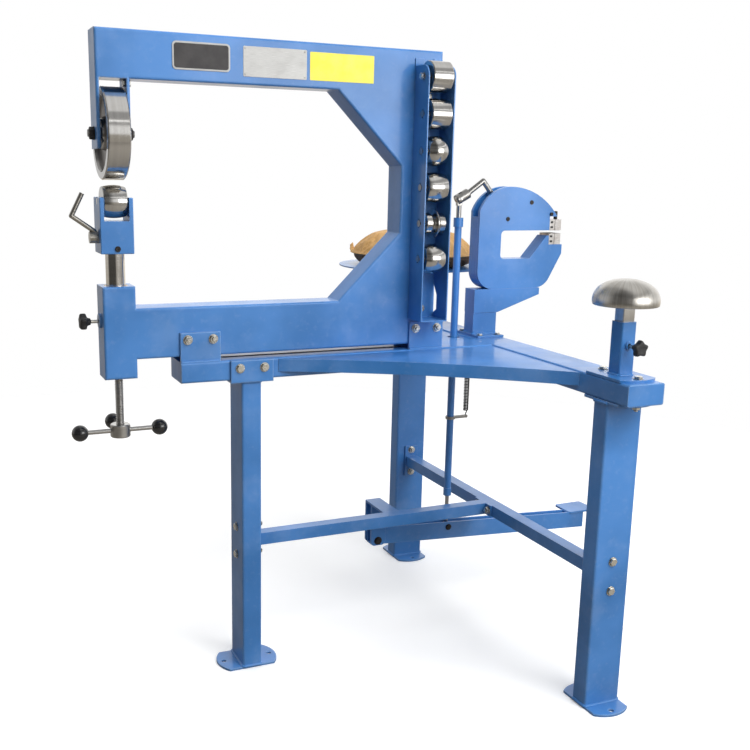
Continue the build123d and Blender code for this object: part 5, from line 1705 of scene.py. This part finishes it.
def finish_cad_pieces():
    paint = shared(blue_enamel)
    for node in painted:
        give(node, paint)
    # The wider edge radius also widens the painted edge highlight
    tube_edge = 4 * bpy.context.scene.wheel_paint.edge
    thick_paint = shared(blue_enamel, "tube_enamel", tube_edge)
    for node in round_edged:
        give(node, thick_paint)
    for node, (axis, rough, tone) in turned_pieces().items():
        give(node, turned_steel("turned_" + node, axis, tuple(middle_of(node)), rough, tone))
    wheel_radius = high_of("upper_wheel").z - wheel_middle.z
    web = (0.34 * wheel_radius, 0.82 * wheel_radius)
    give("upper_wheel", turned_steel("turned_wheel", "X", tuple(wheel_middle), 0.10, 1.0, web))
    give("rack_axles", drawn_steel("drawn_axles", "X", 0.3, 0.7))
    give("release_lever", drawn_steel("drawn_lever", "Z", 0.24, 0.8, (1.0, 0.98, 0.92)))
    give("shrinker_handle", drawn_steel("drawn_handle", "X", 0.26, 0.75))
    give("pull_rod_ends", drawn_steel("drawn_rod_ends", "Z", 0.28, 0.8))
    give("spring_clamp", drawn_steel("drawn_clamp", "X", 0.35, 0.6))
    for node in ("upper_jaw", "lower_jaw"):
        give(node, shared(jaw_steel))
    for node in ("yoke_set_screw", "shrinker_pins"):
        give(node, shared(black_oxide))
    for node in ("shaft_bushings", "screw_nut"):
        give(node, shared(turned_bronze))
    give("hand_wheel_balls", shared(ball_plastic))


# Stage


def make_world():
    """White to the camera; to the steel, a room with a bright horizon and a dim wheel end."""
    settings = bpy.context.scene.wheel_stage
    world = bpy.data.worlds.new("pale_surround")
    world.use_nodes = True
    bpy.context.scene.world = world
    maker = Maker(world.node_tree)
    background = world.node_tree.nodes["Background"]
    way = maker.node("ShaderNodeTexCoord").also("Generated")
    across, ahead, rise = maker.split(way)
    backdrop = ahead.between(-0.10, 0.30)
    ground = 0.40 - rise.band(-1.0, -0.62, 0.2) * 0.12
    wall = rise.band(0.0, 0.27, 0.1) * 0.52 + rise.band(0.47, 0.50, 0.03) * 1.2
    ceiling = rise.band(0.82, 1.1, 0.06) * 0.42
    room = ground + wall + ceiling
    screen = 0.74 + rise.band(-0.02, 0.42, 0.2) * 0.56
    dim_end = (1.0 - across.between(-0.14, 0.10)) * (1.0 - backdrop * 0.4)
    room = (room + (screen - room) * backdrop) * (1.0 - dim_end * settings.dimness)
    seen = maker.node("ShaderNodeLightPath")
    maker.feed(background.inputs["Strength"], settings.sky * (room + (1.0 - room) * seen))
    warm = {"data_type": "RGBA"}
    low = (1.0 - rise.between(-0.10, -0.02)) * (1.0 - seen)
    tints = {0: low, 6: (1.0, 1.0, 1.0, 1.0), 7: (1.0, 0.93, 0.82, 1.0)}
    maker.feed(background.inputs["Color"], maker.node("ShaderNodeMix", warm, tints, 2))


def add_area_light(name, place, target, size, power, mirrored=True):
    light = bpy.data.lights.new(name, "AREA")
    light.shape = "RECTANGLE"
    light.size = size[0]
    light.size_y = size[1]
    light.energy = power
    lamp = bpy.data.objects.new(name, light)
    way = Vector(target) - Vector(place)
    lamp.rotation_mode = "QUATERNION"
    lamp.rotation_quaternion = way.to_track_quat("-Z", "Y")
    lamp.location = place
    lamp.visible_glossy = mirrored
    lamp.visible_camera = False
    bpy.context.scene.collection.objects.link(lamp)


def make_floor():
    bm = bmesh.new()
    steps = 64
    rings = []
    for radius in (0.8, 1.8, 2.6, 3.4):
        ring = [
            (radius * math.cos(a), radius * math.sin(a), 0.0)
            for a in (2 * math.pi * k / steps for k in range(steps))
        ]
        rings.append(ring)
    loops = [[bm.verts.new(p) for p in ring] for ring in rings]
    bm.faces.new(loops[0])
    for inner, outer in zip(loops[:-1], loops[1:]):
        for i in range(steps):
            j = (i + 1) % steps
            bm.faces.new((inner[i], outer[i], outer[j], inner[j]))
    floor = from_bmesh("pale_floor", bm, shared(pale_floor))
    for polygon in floor.data.polygons:
        if polygon.normal.z < 0:
            floor.data.flip_normals()
            break


def make_camera():
    """The photograph's own view: where it stood, which way it looked and how it was cropped."""
    settings = bpy.context.scene.wheel_stage
    place = Vector((-0.74407, -2.29315, 1.25784))
    turn, down, roll = 0.4125, 0.2138, 0.0171
    ahead = Vector((math.sin(turn) * math.cos(down), math.cos(turn) * math.cos(down), -math.sin(down)))
    level = Vector((math.cos(turn), -math.sin(turn), 0.0))
    upright = level.cross(ahead)
    right = level * math.cos(roll) + upright * math.sin(roll)
    up = upright * math.cos(roll) - level * math.sin(roll)
    data = bpy.data.cameras.new("photo_view")
    data.lens = settings.lens
    data.sensor_width = 36.0
    data.sensor_fit = "HORIZONTAL"
    photo_size = 750.0
    middle_px = (340.95, 388.12)
    data.shift_x = (photo_size / 2 - middle_px[0]) / photo_size
    data.shift_y = (middle_px[1] - photo_size / 2) / photo_size
    data.clip_end = 100.0
    camera = bpy.data.objects.new("photo_view", data)
    camera.matrix_world = Matrix((
        (right.x, up.x, -ahead.x, place.x),
        (right.y, up.y, -ahead.y, place.y),
        (right.z, up.z, -ahead.z, place.z),
        (0.0, 0.0, 0.0, 1.0),
    ))
    bpy.context.scene.collection.objects.link(camera)
    bpy.context.scene.camera = camera


def make_stage():
    settings = bpy.context.scene.wheel_stage
    make_world()
    make_floor()
    target = (0.3, 0.0, 0.8)
    power = settings.key_power
    add_area_light("key_light", (0.9, -2.4, 3.0), target, (2.6, 1.6), power, mirrored=False)
    add_area_light("top_light", (0.2, 0.4, 4.2), target, (4.0, 4.0), power, mirrored=False)
    add_area_light("front_screen", (1.6, -2.5, 1.5), (1.2, 0.0, 1.3), (2.1, 1.1), 25.0)
    scene = bpy.context.scene
    scene.view_settings.view_transform = "Standard"
    make_camera()


# Operators


class WHEEL_OT_finishes(bpy.types.Operator):
    """Give every carried-over piece its paint or metal"""

    bl_idname = "english_wheel.finishes"
    bl_label = "Paint and Steel"

    def execute(self, context):
        finish_cad_pieces()
        return {"FINISHED"}


class WHEEL_OT_fasteners(bpy.types.Operator):
    """Build the bolts, nuts and screws"""

    bl_idname = "english_wheel.fasteners"
    bl_label = "Fasteners"

    def execute(self, context):
        make_fasteners()
        return {"FINISHED"}


class WHEEL_OT_lift_screw(bpy.types.Operator):
    """Build the threaded lifting screw"""

    bl_idname = "english_wheel.lift_screw"
    bl_label = "Lifting Screw"

    def execute(self, context):
        make_lift_screw()
        return {"FINISHED"}


class WHEEL_OT_return_spring(bpy.types.Operator):
    """Wind the pedal's return spring"""

    bl_idname = "english_wheel.return_spring"
    bl_label = "Return Spring"

    def execute(self, context):
        make_return_spring()
        return {"FINISHED"}


class WHEEL_OT_weld_beads(bpy.types.Operator):
    """Lay the weld beads on the stand"""

    bl_idname = "english_wheel.weld_beads"
    bl_label = "Weld Beads"

    def execute(self, context):
        make_weld_beads()
        return {"FINISHED"}


class WHEEL_OT_knobs(bpy.types.Operator):
    """Mould the three lobed knobs"""

    bl_idname = "english_wheel.knobs"
    bl_label = "Lobed Knobs"

    def execute(self, context):
        make_knobs()
        return {"FINISHED"}


class WHEEL_OT_dome(bpy.types.Operator):
    """Turn the domed head and weld it on its square bar"""

    bl_idname = "english_wheel.dome"
    bl_label = "Dome Stake"

    def execute(self, context):
        make_dome()
        return {"FINISHED"}


class WHEEL_OT_sandbag(bpy.types.Operator):
    """Sew and fill the leather sandbag"""

    bl_idname = "english_wheel.sandbag"
    bl_label = "Sandbag"

    def execute(self, context):
        make_sandbag()
        return {"FINISHED"}


class WHEEL_OT_plates(bpy.types.Operator):
    """Fix the bare plates on the upper arm"""

    bl_idname = "english_wheel.plates"
    bl_label = "Bare Plates"

    def execute(self, context):
        make_plates()
        return {"FINISHED"}


class WHEEL_OT_jaws(bpy.types.Operator):
    """Cut the jaws' ridges and set their screws"""

    bl_idname = "english_wheel.jaws"
    bl_label = "Shrinker Jaws"

    def execute(self, context):
        make_jaw_details()
        return {"FINISHED"}


class WHEEL_OT_stage(bpy.types.Operator):
    """Set up the floor, the light and the camera"""

    bl_idname = "english_wheel.stage"
    bl_label = "Stage"

    def execute(self, context):
        make_stage()
        return {"FINISHED"}


class WHEEL_PT_dressing(bpy.types.Panel):
    """Lists the operators and their settings"""

    bl_idname = "WHEEL_PT_dressing"
    bl_label = "English Wheel"
    bl_space_type = "VIEW_3D"
    bl_region_type = "UI"
    bl_category = "English Wheel"

    def draw(self, context):
        layout = self.layout
        scene = context.scene
        for settings in ("wheel_paint", "wheel_steel", "wheel_fasteners", "wheel_leather", "wheel_stage"):
            group = getattr(scene, settings)
            box = layout.box()
            for name in group.__annotations__:
                box.prop(group, name)
        for operator in operators:
            layout.operator(operator.bl_idname)


operators = (
    WHEEL_OT_finishes,
    WHEEL_OT_fasteners,
    WHEEL_OT_lift_screw,
    WHEEL_OT_return_spring,
    WHEEL_OT_weld_beads,
    WHEEL_OT_knobs,
    WHEEL_OT_dome,
    WHEEL_OT_sandbag,
    WHEEL_OT_plates,
    WHEEL_OT_jaws,
    WHEEL_OT_stage,
)

setting_groups = {
    "wheel_paint": PaintSettings,
    "wheel_steel": SteelSettings,
    "wheel_fasteners": FastenerSettings,
    "wheel_leather": LeatherSettings,
    "wheel_stage": StageSettings,
}


def register():
    for group in setting_groups.values():
        bpy.utils.register_class(group)
    for operator in operators:
        bpy.utils.register_class(operator)
    bpy.utils.register_class(WHEEL_PT_dressing)
    for name, group in setting_groups.items():
        setattr(bpy.types.Scene, name, PointerProperty(type=group))


def unregister():
    for name in setting_groups:
        delattr(bpy.types.Scene, name)
    bpy.utils.unregister_class(WHEEL_PT_dressing)
    for operator in reversed(operators):
        bpy.utils.unregister_class(operator)
    for group in reversed(setting_groups.values()):
        bpy.utils.unregister_class(group)


def main():
    register()
    bpy.ops.english_wheel.finishes()
    bpy.ops.english_wheel.fasteners()
    bpy.ops.english_wheel.lift_screw()
    bpy.ops.english_wheel.return_spring()
    bpy.ops.english_wheel.weld_beads()
    bpy.ops.english_wheel.knobs()
    bpy.ops.english_wheel.dome()
    bpy.ops.english_wheel.sandbag()
    bpy.ops.english_wheel.plates()
    bpy.ops.english_wheel.jaws()
    bpy.ops.english_wheel.stage()


if __name__ == "__main__":
    main()
